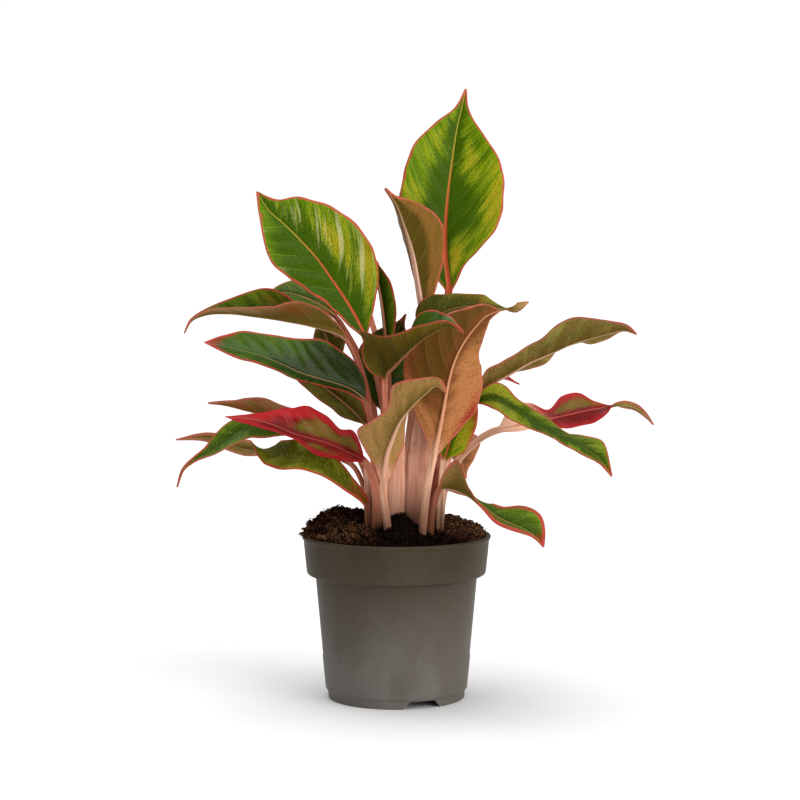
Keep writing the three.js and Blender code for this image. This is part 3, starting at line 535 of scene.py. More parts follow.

# tones: the kinds of its upper and lower face.
# heading: 1 for a leaf that runs to the left, -1 for one that runs right.
# sheath: half width at the stalk's foot.
# midrib, border: these widen the coloured midrib and margin; under 0 the midrib is plain.
# pale lightens the stalk, bare is the share of the blade that keeps the stalk's colour, and
# pale_and_gloss lightens the bands of speckles with pale yellow and a painted highlight.
# path: [x, depth, z] readings from the foot in the soil to the tip. The blade begins at the
# first one with a roll: 0 turns the upper face to the viewer, 90 up and 180 away. After it a
# reading without a roll has that of the reading before.
# left, right: the halves as seen on the upper face with the tip up; fold and curl in
# degrees and half width in mm, each spaced evenly from the base of the blade to its tip.
# speckle, shade, blush: soft spots that add speckles, dark or red; shade is painted shade, in part the
# leaf's own darker patches, and painted light below 0. Each has its centre and reach in percent of the
# blade's length, then in percent of the half width (left negative) unless it lies across the WHOLE_WIDTH,
# and last its amount.
LEAVES = {
    "leaf_top_right": dict(tones=("fresh", "olive_under"), sheath=4.4, midrib=1.6, border=1.2, pale=0,
        path=[[12, -13, 96], [13, -10, 130], [19, 6, 180], [28, 20, 225], [32, 26, 250],
              [33, 27, 259, 0], [31, 28, 280], [31, 28, 300], [32.5, 28, 320], [35, 29, 340],
              [38, 31, 360], [41, 32, 373], [43.5, 34, 385]],
        left=half(12, [10, 0], [2.5, 11, 22, 29, 31.5, 31, 30, 25, 15, 4.5, 0.5]),
        right=half(10, [10, 0], [2.5, 11, 23, 32, 36, 36.5, 34, 27.5, 17, 5, 0.5]),
        speckle=[[33, 14, -70, 22, 1.6], [66, 13, 35, 20, 1.3], [16, 12, 30, 30, 1.8],
                 [75, 12, -50, 30, 0.8], [45, 20, 85, 25, 1.1], [40, 20, -10, 25, -0.9],
                 [40, 20, 35, 25, -0.6]],
        shade=[[30, 25, -20, 30, 0.6], [25, 25, 30, 30, 0.6], [8, 12, -50, 50, 0.8]],
        blush=[[97, 6, 0.3]]),
    "leaf_rolled": dict(tones=("fresh", "brown_under"), heading=-1, midrib=2.6, border=1.5, pale=0.6,
        path=[[4.5, -15, 96], [4, -13, 130], [8, -1, 165], [12.5, 9, 205], [15.5, 12, 232],
              [16.5, 12, 241, 178], [15, 12, 252, 175], [13, 12, 265, 172], [10.5, 12, 280],
              [7.5, 11, 291], [4.5, 11, 300], [0.5, 10, 311], [-7, 9, 323]],
        left=half(5, [30, 20, 10], [2.4, 7, 12, 17, 21, 24, 25, 23, 15, 4, 0.5]),
        right=half(80, [40, 10], [2.4, 7, 12, 16, 19, 20, 19, 16, 9, 3, 0.5]),
        shade=[[50, 100, 60, 50, -1.6], [60, 40, -25, 25, 0.8], [50, 60, -85, 35, -0.9]],
        blush=[[98, 12, 0.4], [40, 100, 60, 50, 0.35]]),
    "leaf_top_left": dict(tones=("fresh", "olive_under"), border=1.3, pale=0, pale_and_gloss=0.35,
        path=[[-3, -4, 96], [-4, 4, 140], [-9, 11, 190], [-17, 11, 222], [-20, 10, 231, 20],
              [-30, 7, 250, 18], [-40, 2, 265, 15], [-50, -4, 279, 12], [-60, -9, 290], [-70, -15, 300],
              [-80, -20, 309, 14], [-87.5, -26, 320.5, 15]],
        left=half(8, [10, 0], [2.6, 8, 11.5, 14, 18, 22, 24, 23, 18, 7, 0.5]),
        right=half(8, [14, 10], [2.6, 13, 23, 30, 33, 33, 30, 26.5, 19, 8, 0.5]),
        speckle=[[40, 50, -50, 50, -0.8], [50, 30, 45, 25, 0.8], [30, 25, 75, 25, 0.7]],
        shade=[[45, 30, -60, 40, 0.9], [20, 30, -80, 50, 1.1], [75, 25, 20, 25, 0.8],
               [90, 15, -50, 40, -0.4], [40, 40, 60, 40, 0.3]],
        blush=[[88, 3, -70, 15, 0.5], [40, 12, 95, 12, 0.3]]),
    "leaf_half_rolled": dict(tones=("green", "tan_under"), border=1.4,
        path=[[-3, 5, 96], [-3, 12, 140], [-5, 18, 190], [-6, 18, 217], [-6.5, 18, 225, -20],
              [-7, 18, 235], [-8.5, 18, 248], [-10.5, 18, 260], [-13.5, 18, 271], [-17, 18, 281]],
        left=half(100, 20, [2.4, 5, 7, 8, 8, 8, 7, 6, 4, 2, 0.5]),
        right=half(15, 15, [2.4, 7, 9, 10.5, 11, 11, 10.5, 9.5, 7, 3.5, 0.5])),
    "leaf_left_long": dict(tones=("green", "tan_under"), midrib=0.5, border=1.2, pale=0,
        path=[[-10, 1, 96], [-12, 2, 150], [-20, 3, 200], [-29, 3, 225], [-34, 3, 231, 150],
              [-50, 6, 236.5, 145], [-62, 9, 239.5, 130], [-74, 13, 242, 95], [-90, 17, 244, 85],
              [-105, 22, 245.5], [-120, 27, 244.5, 90], [-130, 31, 240], [-134.5, 33, 232]],
        left=half([10, 20, 20, 15], [10, 10, 10, 0], [2.6, 10, 13, 14, 14, 12, 10, 8, 5, 2, 0.5]),
        right=half([50, 50, 60, 45, 20], [0, 10, 0], [2.6, 8, 12, 15, 18, 18, 14, 9, 5, 2, 0.5]),
        shade=[[10, 25, 0.8]], blush=[[35, 20, -70, 60, 0.45], [35, 20, 70, 60, 0.45]]),
    "leaf_left_back": dict(tones=("green", "olive_under"), pale=0,
        path=[[-5, 16, 96], [-10, 24, 150], [-18, 31, 205], [-34, 33, 238], [-38, 33, 243, 60],
              [-50, 40, 251, 55], [-62, 48, 256], [-75, 56, 258, 65], [-86, 62, 255, 75]],
        left=half(15, 0, OVAL * 15), right=half(15, 0, OVAL * 14)),
    "leaf_left_small": dict(tones=("dark", "olive_under"),
        path=[[-11, 10, 96], [-14, 12, 150], [-24, 18, 190], [-34, 22, 208], [-36, 23, 213, 170],
              [-41, 24, 222], [-45, 25, 232], [-50, 26, 243]],
        left=half(10, 10, OVAL * 11), right=half(10, 20, OVAL * 11)),
    "leaf_left_glossy": dict(tones=("dark", "olive_under"), midrib=0.4, border=1.2, pale=0,
        path=[[-10, -18, 96], [-13, -16, 135], [-15, -14, 170], [-18, -14, 186], [-20, -14, 190, 20],
              [-30, -17, 197], [-45, -22, 202], [-60, -28, 206.5], [-72, -33, 212],
              [-80, -37, 215.5, 25], [-90, -42, 219], [-100, -47, 221.5], [-110, -52, 224],
              [-121, -58, 226]],
        left=half([-50, -40, -20], -10, [2.4, 4, 5, 5.5, 6, 6, 6, 6, 5.5, 3.5, 0.5]),
        right=half(5, [-30, -20], [2.4, 17, 24, 26, 24, 20, 16.5, 14.5, 12.5, 6.5, 0.5]),
        speckle=[[75, 15, -30, 80, 0.6], [15, 25, 50, 80, -0.5]],
        shade=[[10, 25, 1.4], [75, 20, 20, 80, -0.9]], blush=[[100, 10, 0.9], [86, 6, 100, 30, 0.7]]),
    "leaf_left_olive": dict(tones=("olive", "olive_under"), midrib=0.6,
        path=[[-10, -8, 96], [-10, -8, 130], [-13, -6, 160], [-17, -5, 172], [-20, -5, 176, 165],
              [-29, -4, 185], [-41, -4, 195], [-55, -5, 205], [-66, -8, 211], [-77, -12, 215]],
        left=half(10, 0, [2.4, 6, 9, 10, 10, 10, 10, 9, 7, 3, 0.5]),
        right=half(10, 0, [2.4, 7, 10, 10, 10, 10, 9, 8, 6, 3, 0.5]),
        speckle=[[50, 100, 1]], shade=[[60, 100, -0.5]]),
    "leaf_red": dict(tones=("red", "copper_under"), sheath=4.4, midrib=0.3,
        path=[[-11.5, -26, 96], [-12.5, -27, 128], [-16, -29, 143], [-19, -30, 149], [-22, -30, 152, 20],
              [-32, -33, 157], [-45, -39, 162.5], [-56, -45, 165.5], [-66, -51, 168.5], [-76, -56, 173],
              [-92, -65, 177.5, 30], [-108, -73, 179, 40]],
        left=half(-30, -20, [2.4, 7, 10, 10, 6, 3.5, 4, 4.5, 4, 3, 0.5]),
        right=half(0, -20, [2.4, 15, 12, 18, 21, 18.5, 13.5, 8, 4, 2, 0.5]),
        speckle=[[42, 16, 25, 25, 2.3], [25, 14, 40, 30, 2.2], [10, 10, 30, 30, 1.8],
                 [30, 14, -45, 25, 1.9]],
        shade=[[85, 25, -0.5], [50, 25, 85, 25, -0.8], [45, 20, 55, 15, 0.5], [60, 30, -30, 40, 0.4]]),
    "leaf_left_tip": dict(tones=("bronze", "tan_under"), midrib=0.4, border=1.5,
        path=[[-17, 3, 96], [-18, 4, 138], [-28, 3, 160], [-34, 2, 165, 110], [-52, 6, 172],
              [-68, 12, 177, 115], [-82, 18, 181, 120], [-95, 24, 184, 115], [-108, 30, 187, 110],
              [-119, 36, 188]],
        left=half(25, 0, [2.4, 7, 9, 10, 11, 12, 12, 9, 5, 2.5, 0.5]),
        right=half(25, 0, [2.4, 7, 9, 10, 11, 10, 9, 8, 5, 2.5, 0.5]),
        blush=[[70, 50, 0.45]]),
    "leaf_left_drooping": dict(tones=("green", "tan_under"), midrib=-4,
        path=[[-18, -5, 96], [-19, -5, 130], [-27, -5, 148], [-34, -7, 153, 70], [-50, -9, 163],
              [-65, -13, 170.5, 60], [-80, -25, 172, 50], [-95, -33, 171.5, 45], [-107, -39, 165, 40],
              [-118, -44, 157, 45], [-128, -47, 151.5, 50], [-135.5, -49, 145], [-139.5, -50, 134]],
        left=half(10, 0, [2.4, 4, 5, 7, 9, 10, 9.5, 7, 3.5, 1.5, 0.5]),
        right=half(10, 0, [2.4, 4, 6, 8, 10, 10, 9.5, 7, 3.5, 1.5, 0.5]),
        speckle=[[50, 100, -0.9]], shade=[[40, 40, 0.4]], blush=[[100, 20, 0.4]]),
    "leaf_left_twisted": dict(tones=("olive", "tan_under"), midrib=-1, border=1.4,
        path=[[-17, -21, 96], [-17.5, -22, 112], [-18, -23, 119], [-19, -24, 124, 25], [-32, -27, 135],
              [-45, -28, 145.5, 30], [-59, -28, 153.5, 35], [-78, -18, 158, 50], [-88, -12, 159, 125],
              [-98, -6, 160, 140], [-120, 6, 166, 150], [-139.5, 15, 164.5]],
        left=half(0, 0, [2.4, 3, 4.5, 8, 13, 13, 9, 7, 4.5, 2.5, 0.5]),
        right=half(0, -10, [2.4, 7, 11, 13.5, 13, 9.5, 7.5, 7, 5, 2.5, 0.5]),
        shade=[[30, 30, 0.3]], blush=[[35, 8, 90, 30, 0.6], [5, 8, 0.5]]),
    "leaf_centre_arched": dict(tones=("dark", "olive_under"), heading=-1, midrib=0.9, border=1.4,
        path=[[-3, -13, 96], [-3, -16, 135], [-7, -19, 170], [-8, -21, 198], [-8, -22, 205, 120],
              [-2, -32, 212, 115], [4, -42, 218.5, 110], [13, -53, 227, 105], [23, -62, 233.5],
              [33, -68, 237], [43, -71, 232.5]],
        left=half([30, 35, 35], 10, [2.4, 8, 12, 17, 22, 25, 23, 19, 13, 6, 0.5]),
        right=half([65, 60, 30, 20, 15], [15, 10, 0], [2.4, 24, 30, 28, 22, 18, 15, 12, 8, 3.5, 0.5]),
        speckle=[[50, 100, -0.3]], shade=[[50, 100, -0.25]]),
    "leaf_front_copper": dict(tones=("olive", "copper_under"), heading=-1, midrib=1.1, pale=0.9,
        bare=0.06,
        path=[[16, -34, 96], [17, -35, 110], [20, -34, 135], [24, -33, 155, 180], [27, -32, 168],
              [30, -30, 184], [33, -28, 200], [36.5, -26, 213], [42, -23, 225, 175], [50, -20, 236, 172],
              [57, -16, 243, 168], [65, -11, 246, 165]],
        left=half([12, 12, 20], 8, [2.4, 8, 15, 21, 22, 21, 18, 13, 9, 6, 0.5]),
        right=half(8, 10, [2.4, 9, 17, 23, 28, 31, 29, 22, 16, 9, 0.5]),
        speckle=[[75, 30, 50, 50, 1.6], [40, 20, 30, 30, 0.9], [80, 20, -50, 50, 0.9]],
        shade=[[60, 40, 60, 60, 0.9], [90, 20, 0.6], [40, 40, -50, 50, -0.7], [10, 25, 60, 60, -0.9]],
        blush=[[25, 25, -90, 45, 0.6], [45, 20, 95, 20, 0.4]]),
    "leaf_front": dict(tones=("olive", "tan_under"), heading=-1, midrib=1.7, border=1.4, pale=0.7,
        bare=0.12,
        path=[[-4, -33, 96], [-6, -36, 112], [-8, -40, 128], [-8, -42, 138, 165], [-6, -48, 155],
              [-2, -54, 167, 160], [2, -60, 176, 155], [8, -66, 184, 150], [17, -72, 193, 145],
              [26, -76, 199, 140], [32, -78, 194, 130]],
        left=half([12, 15, 40, 60, 60, 60], 10, [2.4, 7, 10, 12, 12, 12, 11, 9, 6, 3, 0.5]),
        right=half(15, 10, [2.4, 6, 14, 21, 17, 12, 13, 17, 13, 6, 0.5]),
        speckle=[[10, 30, -0.8]], shade=[[10, 30, -50, 60, -0.6], [60, 50, -0.2]],
        blush=[[60, 30, 95, 15, 0.3], [0, 30, 0.2]]),
    "leaf_back_dark": dict(tones=("dark", "olive_under"), pale=-0.2,
        path=[[3, 12, 96], [1, 18, 140], [-6, 22, 172], [-8, 22, 183, 0], [-9, 22, 200], [-4, 23, 222],
              [6, 24, 244]],
        left=half(10, 0, OVAL * 19), right=half(10, 0, OVAL * 16)),
    "leaf_right_band": dict(tones=("bronze", "tan_under"), heading=-1, midrib=0.3, border=0.5,
        path=[[22.5, -3, 96], [24, 0, 150], [23, 1, 190], [20, 0, 222], [20, 0, 230, 25], [24, -1, 241],
              [34, -1, 247, 30], [46, 1, 249, 35], [58, 6, 248.5], [68, 12, 248, 75], [76, 17, 248, 140],
              [83, 22, 251.5, 150]],
        left=half(0, 0, [2.4, 13, 15, 11, 9.5, 9.5, 9, 7, 5, 3.5, 0.5]),
        right=half(10, 0, [2.4, 9, 12, 11, 9, 8, 6, 5, 4.5, 3.5, 0.5]),
        speckle=[[75, 15, 1.4]], shade=[[20, 20, 0.9], [100, 10, -0.8]], blush=[[50, 15, 0.3]]),
    "leaf_right_long": dict(tones=("olive", "tan_under"), heading=-1, midrib=0.9, pale=0.9,
        path=[[27, -9, 96], [29, -9, 130], [38, -8, 170], [48, -7, 189], [53, -7, 196, 150],
              [70, -12, 206], [84, -18, 214], [98, -25, 220], [112, -32, 226], [130, -40, 231],
              [144, -47, 234, 145], [152, -51, 231.5, 140]],
        left=half([60, 60, 45, 20, 14, 60, 62, 18, 20, 35, 50], 0, [2.4, 5, 7, 8, 8, 7, 7, 7, 6, 3, 0.5]),
        right=half(10, 0, [2.4, 9, 9.5, 9.5, 10, 12, 16, 15.5, 11, 6, 0.5]),
        speckle=[[60, 60, 0.9]], blush=[[100, 10, 0.5]]),
    "leaf_right_tip": dict(tones=("red", "copper_under"), heading=-1, midrib=0.6,
        path=[[22, 8, 96], [24, 11, 140], [34, 13, 177], [38, 13, 184, 70], [50, 22, 195], [60, 30, 202],
              [68, 38, 204], [78, 46, 200]],
        left=half(10, 0, OVAL * 7), right=half(10, 0, OVAL * 7),
        speckle=[[50, 30, 30, 40, 1.6]]),
    "leaf_right_green": dict(tones=("green", "tan_under"), heading=-1, midrib=-3,
        path=[[20, -13, 96], [24, -14, 130], [36, -15, 165], [46, -15, 183], [51, -16, 189, 30],
              [62, -21, 191], [75, -28, 184.5, 45], [90, -36, 175, 58], [105, -44, 166, 70],
              [118, -51, 160, 48], [129, -57, 152, 30], [137, -61, 141]],
        left=half(0, 0, [2.4, 10, 8.5, 8, 9, 10, 10, 10.5, 12, 5.5, 0.5]),
        right=half(0, 0, [2.4, 7, 9, 10.5, 10, 9, 8, 6.5, 5.5, 2.5, 0.5]),
        speckle=[[10, 20, 1.3], [80, 20, 0.4]], shade=[[10, 15, 0.1], [50, 25, 0.9]],
        blush=[[100, 8, 0.7]]),
    "leaf_right_red": dict(tones=("red", "tan_under"), heading=-1, midrib=0.8, pale=0.9, bare=0.25,
        path=[[28, 1, 96], [29, 0, 125], [35, -2, 145], [46, -3, 159], [58, -4, 168], [66, -4, 171, 30],
              [80, 0, 174], [92, 4, 176.5], [107, 9, 179.7], [121, 15, 183, 35], [131, 19, 185, 70],
              [137, 21, 186.5, 120], [144, 24, 187, 150], [152, 27, 185], [158, 29, 180],
              [163, 31, 174]],
        left=half(20, 0, [2.4, 13, 13, 6, 12, 13, 6, 3, 4.5, 3, 0.5]),
        right=half(-10, 0, [2.4, 4, 4, 6, 9, 9.5, 8, 4, 3, 2, 0.5]),
        speckle=[[50, 25, -25, 40, 3.2], [66, 12, -50, 35, 2.4]], shade=[[45, 20, 50, 40, 0.4]]),
    "leaf_right_yellow": dict(tones=("fresh", "copper_under"), heading=-1, pale=1.3,
        path=[[27, -19, 96], [28.5, -20, 130], [30, -20, 148], [31, -20, 153, 10], [34, -20, 163],
              [39, -19, 177], [44, -18, 192], [48, -17, 204]],
        left=half(0, 0, [2.4, 7, 9, 10, 10, 10, 9, 8, 6, 3, 0.5]),
        right=half(0, 0, [2.4, 10, 12, 12, 12, 12, 11, 9, 6, 3, 0.5]),
        speckle=[[50, 50, 1.4]], blush=[[60, 35, 90, 40, 0.7]]),
    "leaf_low_right": dict(tones=("green", "tan_under"), heading=-1, midrib=0.5, border=2.4, pale=0,
        path=[[21, -29, 96], [22.5, -31, 118], [26, -35, 130], [29, -38, 134, 150], [39, -43, 133],
              [49, -49, 128.5, 110], [56, -55, 122, 70], [64, -60, 115.5, 50], [73, -66, 111, 45],
              [82, -71, 107], [88, -75, 103], [94, -79, 96]],
        left=half(10, 0, [2.4, 4, 5, 6, 8, 10, 13, 15, 14, 8, 0.5]),
        right=half(0, 0, [2.4, 19, 20, 10, 5, 5, 5.5, 5, 4, 2, 0.5]),
        blush=[[100, 12, 0.9], [60, 25, 100, 50, 0.7]]),
    # The three leaves behind the others are guessed: no view shows the back.
    "leaf_back_right": dict(tones=("green", "olive_under"), heading=-1, facing=UP,
        path=[[13, 12, 96], [16, 20, 150], [22, 34, 190], [24, 42, 198, 0], [28, 60, 206], [32, 82, 205],
              [36, 104, 196], [38, 124, 180]],
        left=half(18, 10, OVAL * 23), right=half(18, 10, OVAL * 23)),
    "leaf_back_high": dict(tones=("green", "olive_under"), facing=UP,
        path=[[5, 20, 96], [2, 32, 150], [-6, 40, 205], [-16, 52, 240], [-19, 58, 248, 0],
              [-26, 74, 262], [-35, 94, 270], [-43, 112, 268], [-50, 130, 256]],
        left=half(18, 10, OVAL * 24), right=half(18, 10, OVAL * 24)),
    "leaf_back_low": dict(tones=("olive", "copper_under"), heading=-1, facing=UP,
        path=[[16, 21, 96], [20, 34, 130], [26, 52, 152], [28, 58, 156, 0], [32, 76, 162], [37, 96, 160],
              [41, 114, 152], [44, 130, 140]],
        left=half(18, 10, OVAL * 17), right=half(18, 10, OVAL * 17),
        blush=[[30, 30, 0.6]]),
}

paints = {name: leaf_paint(name, tones) for name, tones in TONES.items()}
for seed, (name, leaf) in enumerate(LEAVES.items()):
    leaf_piece(name, COMMON | leaf, seed)

# ------------------------------------------------------------------------- canes

# [x, depth, z, half width, half depth] from the foot up, as in the part.
CANES = {
    "stem_left": [[-15.5, -12.5, 96, 2.6, 2.4], [-17, -12.5, 118, 2.5, 2.3],
                  [-18.8, -13, 140, 1.8, 1.6], [-20, -13, 152, 0.7, 0.7]],
    "stem_centre": [[-1, -26.8, 96, 5.2, 2.4], [-0.8, -26.8, 124, 5.9, 2.4],
                    [0.6, -26.8, 147, 4.8, 2], [4.5, -27, 162, 0.9, 0.9]],
    "stem_front": [[11.5, -21, 96, 6.5, 2.6], [12, -21, 124, 8, 2.6], [14.5, -20.2, 154, 7, 2.3],
                   [15.5, -19.5, 174, 4.6, 2], [14.5, -19, 190, 0.9, 0.9]],
}
CANE_SIDES = 40
CANE_RINGS = 40
SLIT = {"depth": 0.16, "bearing": 4.4, "turn": 0.4, "width": 0.14}  # depth as a share, then radians


def cane_paint():
    paint = Paint("cane")
    fibres = paint.noise(paint.place((1, 1, 0.05)), 2.2)
    blotch = paint.noise(paint.place((1, 1, 0.5)), 9, 3)
    tone = paint.mix(fibres.rise(0.1, 0.95), STALK_PINK, STALK_CREAM)
    tone = paint.mix(blotch.rise(0.5, 0.8) * 0.5, tone, STALK_BROWN)
    tone = paint.mix(foot_darkening(paint), tone, FOOT_DARK_BROWN)
    return paint.finish(tone, 0.5, 0.15, Normal=paint.bump(fibres, 0.15))


def cane_piece(name, stations, material):
    """A cane wrapped in an old sheath: an oval column with a shallow slit down its front."""
    stations = np.array(stations, float)
    at = np.linspace(0, 1, CANE_RINGS)
    knots = np.linspace(0, 1, len(stations))
    centre = np.column_stack([np.interp(at, knots, axis) for axis in placed(stations).T])
    half_width, half_depth = (along(stations[:, column], at)[:, None] for column in (3, 4))
    turn = np.linspace(0, FULL_TURN, CANE_SIDES, endpoint=False)[None, :]
    off_slit = (turn - SLIT["bearing"] - SLIT["turn"] * at[:, None]) / SLIT["width"]
    inset = 1 - SLIT["depth"] * np.exp(-(off_slit**2))
    ring = np.stack([half_width * np.cos(turn) * inset, half_depth * np.sin(turn) * inset,
                     np.zeros((CANE_RINGS, CANE_SIDES))], axis=2) + centre[:, None, :]
    faces = ring_faces(CANE_RINGS, CANE_SIDES)
    add_piece(name + "_look", ring.reshape(-1, 3), faces, [material], name)


cane_material = cane_paint()
for name, stations in CANES.items():
    cane_piece(name, stations, cane_material)

# --------------------------------------------------------------------------- pot

POT_SIDES = 192
POT_ROUNDING = 0.45
POT_SHARP = 50  # degrees between two faces from which their edge is drawn sharp
POT_PROFILE = [
    [0, 0], [13, 0], [14.5, 4.6], [40, 4.6], [41, 0], [43.4, 0], [43.8, 4.6], [45.2, 6.4], [47.1, 26.7],
    [46.8, 27.2], [51.4, 77.8], [54, 78.6], [56.6, 79.6], [57.1, 81.4], [59, 100.8], [59.6, 101.6],
    [60, 102.4], [60, 103.4], [59.2, 104], [57.4, 104], [56.7, 102.6], [55.4, 83.4], [50.2, 79.2],
    [49.7, 75], [45.3, 26], [44, 6.2], [0, 6.2],
]
NOTCH_BEARINGS = [22.5, 142.5, 262.5]  # degrees from the front towards +X
NOTCH_OUTLINE = [[-13.2, -1], [13.2, -1], [8.4, 4.8], [-8.4, 4.8]]
NOTCH_REACH = (36, 48)  # from the pot's axis
DRAINS = {"count": 8, "radius": 4, "reach": 30, "sides": 32, "levels": (1, 9)}


def rounded(profile, radius):
    """The profile with each corner turned into a short arc of three points."""
    profile = np.array(profile, float)
    points = [profile[0]]
    for before, corner, after in zip(profile, profile[1:], profile[2:]):
        start, end = (corner + unit(other - corner) * min(radius, np.linalg.norm(other - corner) * 0.4)
                      for other in (before, after))
        points += [start, 0.25 * start + 0.5 * corner + 0.25 * end, end]
    return np.array(points + [profile[-1]])


def turned(points, bearing):
    """Points turned about the pot's axis by a bearing in degrees, from the front towards +X."""
    angle = math.radians(bearing)
    x = points[:, 0] * math.cos(angle) - points[:, 1] * math.sin(angle)
    y = points[:, 0] * math.sin(angle) + points[:, 1] * math.cos(angle)
    return np.column_stack([x, y, points[:, 2]])


def cut_away(pot, points, faces):
    mesh = bpy.data.meshes.new("cutter")
    mesh.from_pydata((points * MM).tolist(), [], faces)
    tool = link("cutter", mesh)
    cut = pot.modifiers.new("cut", "BOOLEAN")
    cut.operation = "DIFFERENCE"
    cut.object = tool
    bpy.context.view_layer.objects.active = pot
    bpy.ops.object.modifier_apply(modifier="cut")
    bpy.data.objects.remove(tool)


def pot_paint():
    """Matte black-brown recycled plastic with a fine grain and faint flow marks, darker towards the rim with
    painted shade and lighter low down with painted light from the floor.
    """
    paint = Paint("pot_plastic")
    cloud = paint.noise(paint.place((1, 1, 0.5)), 28, 3)
    grain = paint.noise(paint.place(), 0.5)
    flecks = paint.noise(paint.place(), 0.9, 1)
    # painted shade towards the rim under the leaves, painted light from the white floor low down
    tone = paint.mix(paint.height().rise(100, 0), "3e3529", "6e6a64")
    tone = paint.mix(cloud.rise(0.4, 0.65) * 0.4, tone, "4c4335")
    tone = paint.mix(flecks.rise(0.66, 0.78) * 0.25, tone, "7c7364")
    tone = paint.mix(grain.rise(0.55, 0.35) * 0.3, tone, "262018")
    return paint.finish(tone, grain * 0.2 + 0.38, 0.06, Normal=paint.bump(grain, 0.09))


def build_pot():
    profile = rounded(POT_PROFILE, POT_ROUNDING)[1:-1]
    points = revolved(profile, POT_SIDES).reshape(-1, 3)
    faces = ring_faces(len(profile), POT_SIDES)
    pot = add_piece("pot_look", points, faces, [pot_paint()], "pot")
    notch = np.array([[x, -reach, z] for reach in NOTCH_REACH for x, z in NOTCH_OUTLINE])
    for bearing in NOTCH_BEARINGS:
        cut_away(pot, turned(notch, bearing), ring_faces(2, len(NOTCH_OUTLINE)))
    hole = revolved([[DRAINS["radius"], level] for level in DRAINS["levels"]], DRAINS["sides"])
    hole_faces = ring_faces(2, DRAINS["sides"])
    for k in range(DRAINS["count"]):
        bearing = (k + 0.5) * 360 / DRAINS["count"]
        cut_away(pot, turned(hole.reshape(-1, 3) + [0, DRAINS["reach"], 0], bearing), hole_faces)
    pot.data.shade_smooth()
    pot.data.set_sharp_from_angle(angle=math.radians(POT_SHARP))


build_pot()

# -------------------------------------------------------------------------- soil

SOIL_RADIUS = 56
SOIL_TOP = 103
SOIL_DOME = 7  # rise from the pot's wall to the middle
SOIL_SIDE = [[44.9, 26], [49.3, 75], [49.8, 79.6], [55, 83.9], [56.2, 101.5]]
# Heaps over the mound as in the part: [x, y, height, spread].
HEAPS = [[-44, 6, 10, 11], [-26, 14, 7, 13], [38, 12, 5, 16], [3, -31, 12, 7], [-30, -28, 3, 10],
         [20, 34, 3, 14]]
SOIL_SIDES = 200
SOIL_RINGS = 60
CRUMBS = 7500
FIBRES = 900
# Sizes of a crumb and how unevenly it is stretched and dented; then one fibre; then the crumbs
# piled on the rim and hanging over it at the left.
CRUMB = {"least": 0.3, "more": 0.3, "most": 2.0, "stretch": (0.5, 1.3), "dent": (0.7, 1.3)}
FIBRE = {"steps": 7, "sides": 3, "radius": 0.2, "length": (2, 7), "lean": (0, 0.8), "bend": (-1.5, 1.5)}
SPILL = {"count": 260, "x": -56, "y": -8, "spread": 2.2, "ground": 104, "rise": 10, "brown": 0.6}


def bell(x, y, centre_x, centre_y, area):
    """1 at the centre, 0.37 where the square of the distance is area, and so on down."""
    return np.exp(-((x - centre_x) ** 2 + (y - centre_y) ** 2) / area)


def soil_height(x, y):
    """The part's mounded top, with finer lumps."""
    radius = np.hypot(x, y) / SOIL_RADIUS
    height = SOIL_TOP + SOIL_DOME * (1 - radius**2)
    for hx, hy, rise, spread in HEAPS:
        height = height + rise * bell(x, y, hx, hy, 2 * spread**2)
    waves = np.sin(0.42 * x + 1.3) * np.sin(0.37 * y + 0.4) + 0.6 * np.sin(0.83 * x - 0.51 * y)
    return height + 0.9 * waves * np.minimum(1, 6 * (1 - radius))


def brownness(x, y):
    """How brown the soil is: most at the front left and the right, and black on the front heap, where
    painted shade lies among the stalks.
    """
    left = bell(x, y, -34, -22, 700)
    right = bell(x, y, 44, -4, 600)
    # painted shade on the front heap among the stalks' feet
    black = bell(x, y, 4, -34, 160)
    return np.clip(0.9 * left + 1.1 * right + 0.1 - black, 0, 1)


def soil_paint():
    paint = Paint("soil")
    grit = paint.noise(paint.place(), 1.1, 4, 0.65)
    brown = paint.mark("brown")
    tone = paint.mix(grit.rise(0.35, 0.7), "060302", "20140d")
    tone = paint.mix(brown.rise(0.1, 0.7) * grit.rise(0.25, 0.6), tone, "573622")
    tone = paint.mix(brown.rise(0.6, 1.0) * grit.rise(0.4, 0.7), tone, "82624a")
    return paint.finish(tone, 0.95, 0.03, Normal=paint.bump(grit, 0.8))


soil_material = soil_paint()


def add_soil(name, points, faces, brown):
    add_piece(name, points, faces, [soil_material], "soil", marks={"brown": brown})


def build_soil():
    radii = np.linspace(SOIL_RADIUS, 1, SOIL_RINGS)
    rings = revolved(SOIL_SIDE + [[radius, 0] for radius in radii], SOIL_SIDES)
    for radius, ring in zip(radii, rings[len(SOIL_SIDE):]):
        rough = 0.9 * lumps(ring[:, :2], 5, 1) + 0.6 * lumps(ring[:, :2], 2.2, 2)
        by_wall = min(1, (SOIL_RADIUS + 1 - radius) / 4)
        ring[:, 2] = soil_height(ring[:, 0], ring[:, 1]) + rough * by_wall
    points = rings.reshape(-1, 3)
    brown = brownness(points[:, 0], points[:, 1]) * smoothstep(-0.6, 1.2, lumps(points[:, :2], 9, 4))
    add_soil("soil_look", points, ring_faces(len(rings), SOIL_SIDES), brown)


def scattered(count):
    """Places over the pot, the height of the ground there, and how brown it is."""
    radius = (SOIL_RADIUS + 1) * np.sqrt(rng.uniform(0, 1, count))
    turn = rng.uniform(0, FULL_TURN, count)
    x, y = radius * np.cos(turn), radius * np.sin(turn)
    return x, y, soil_height(x, y), brownness(x, y)


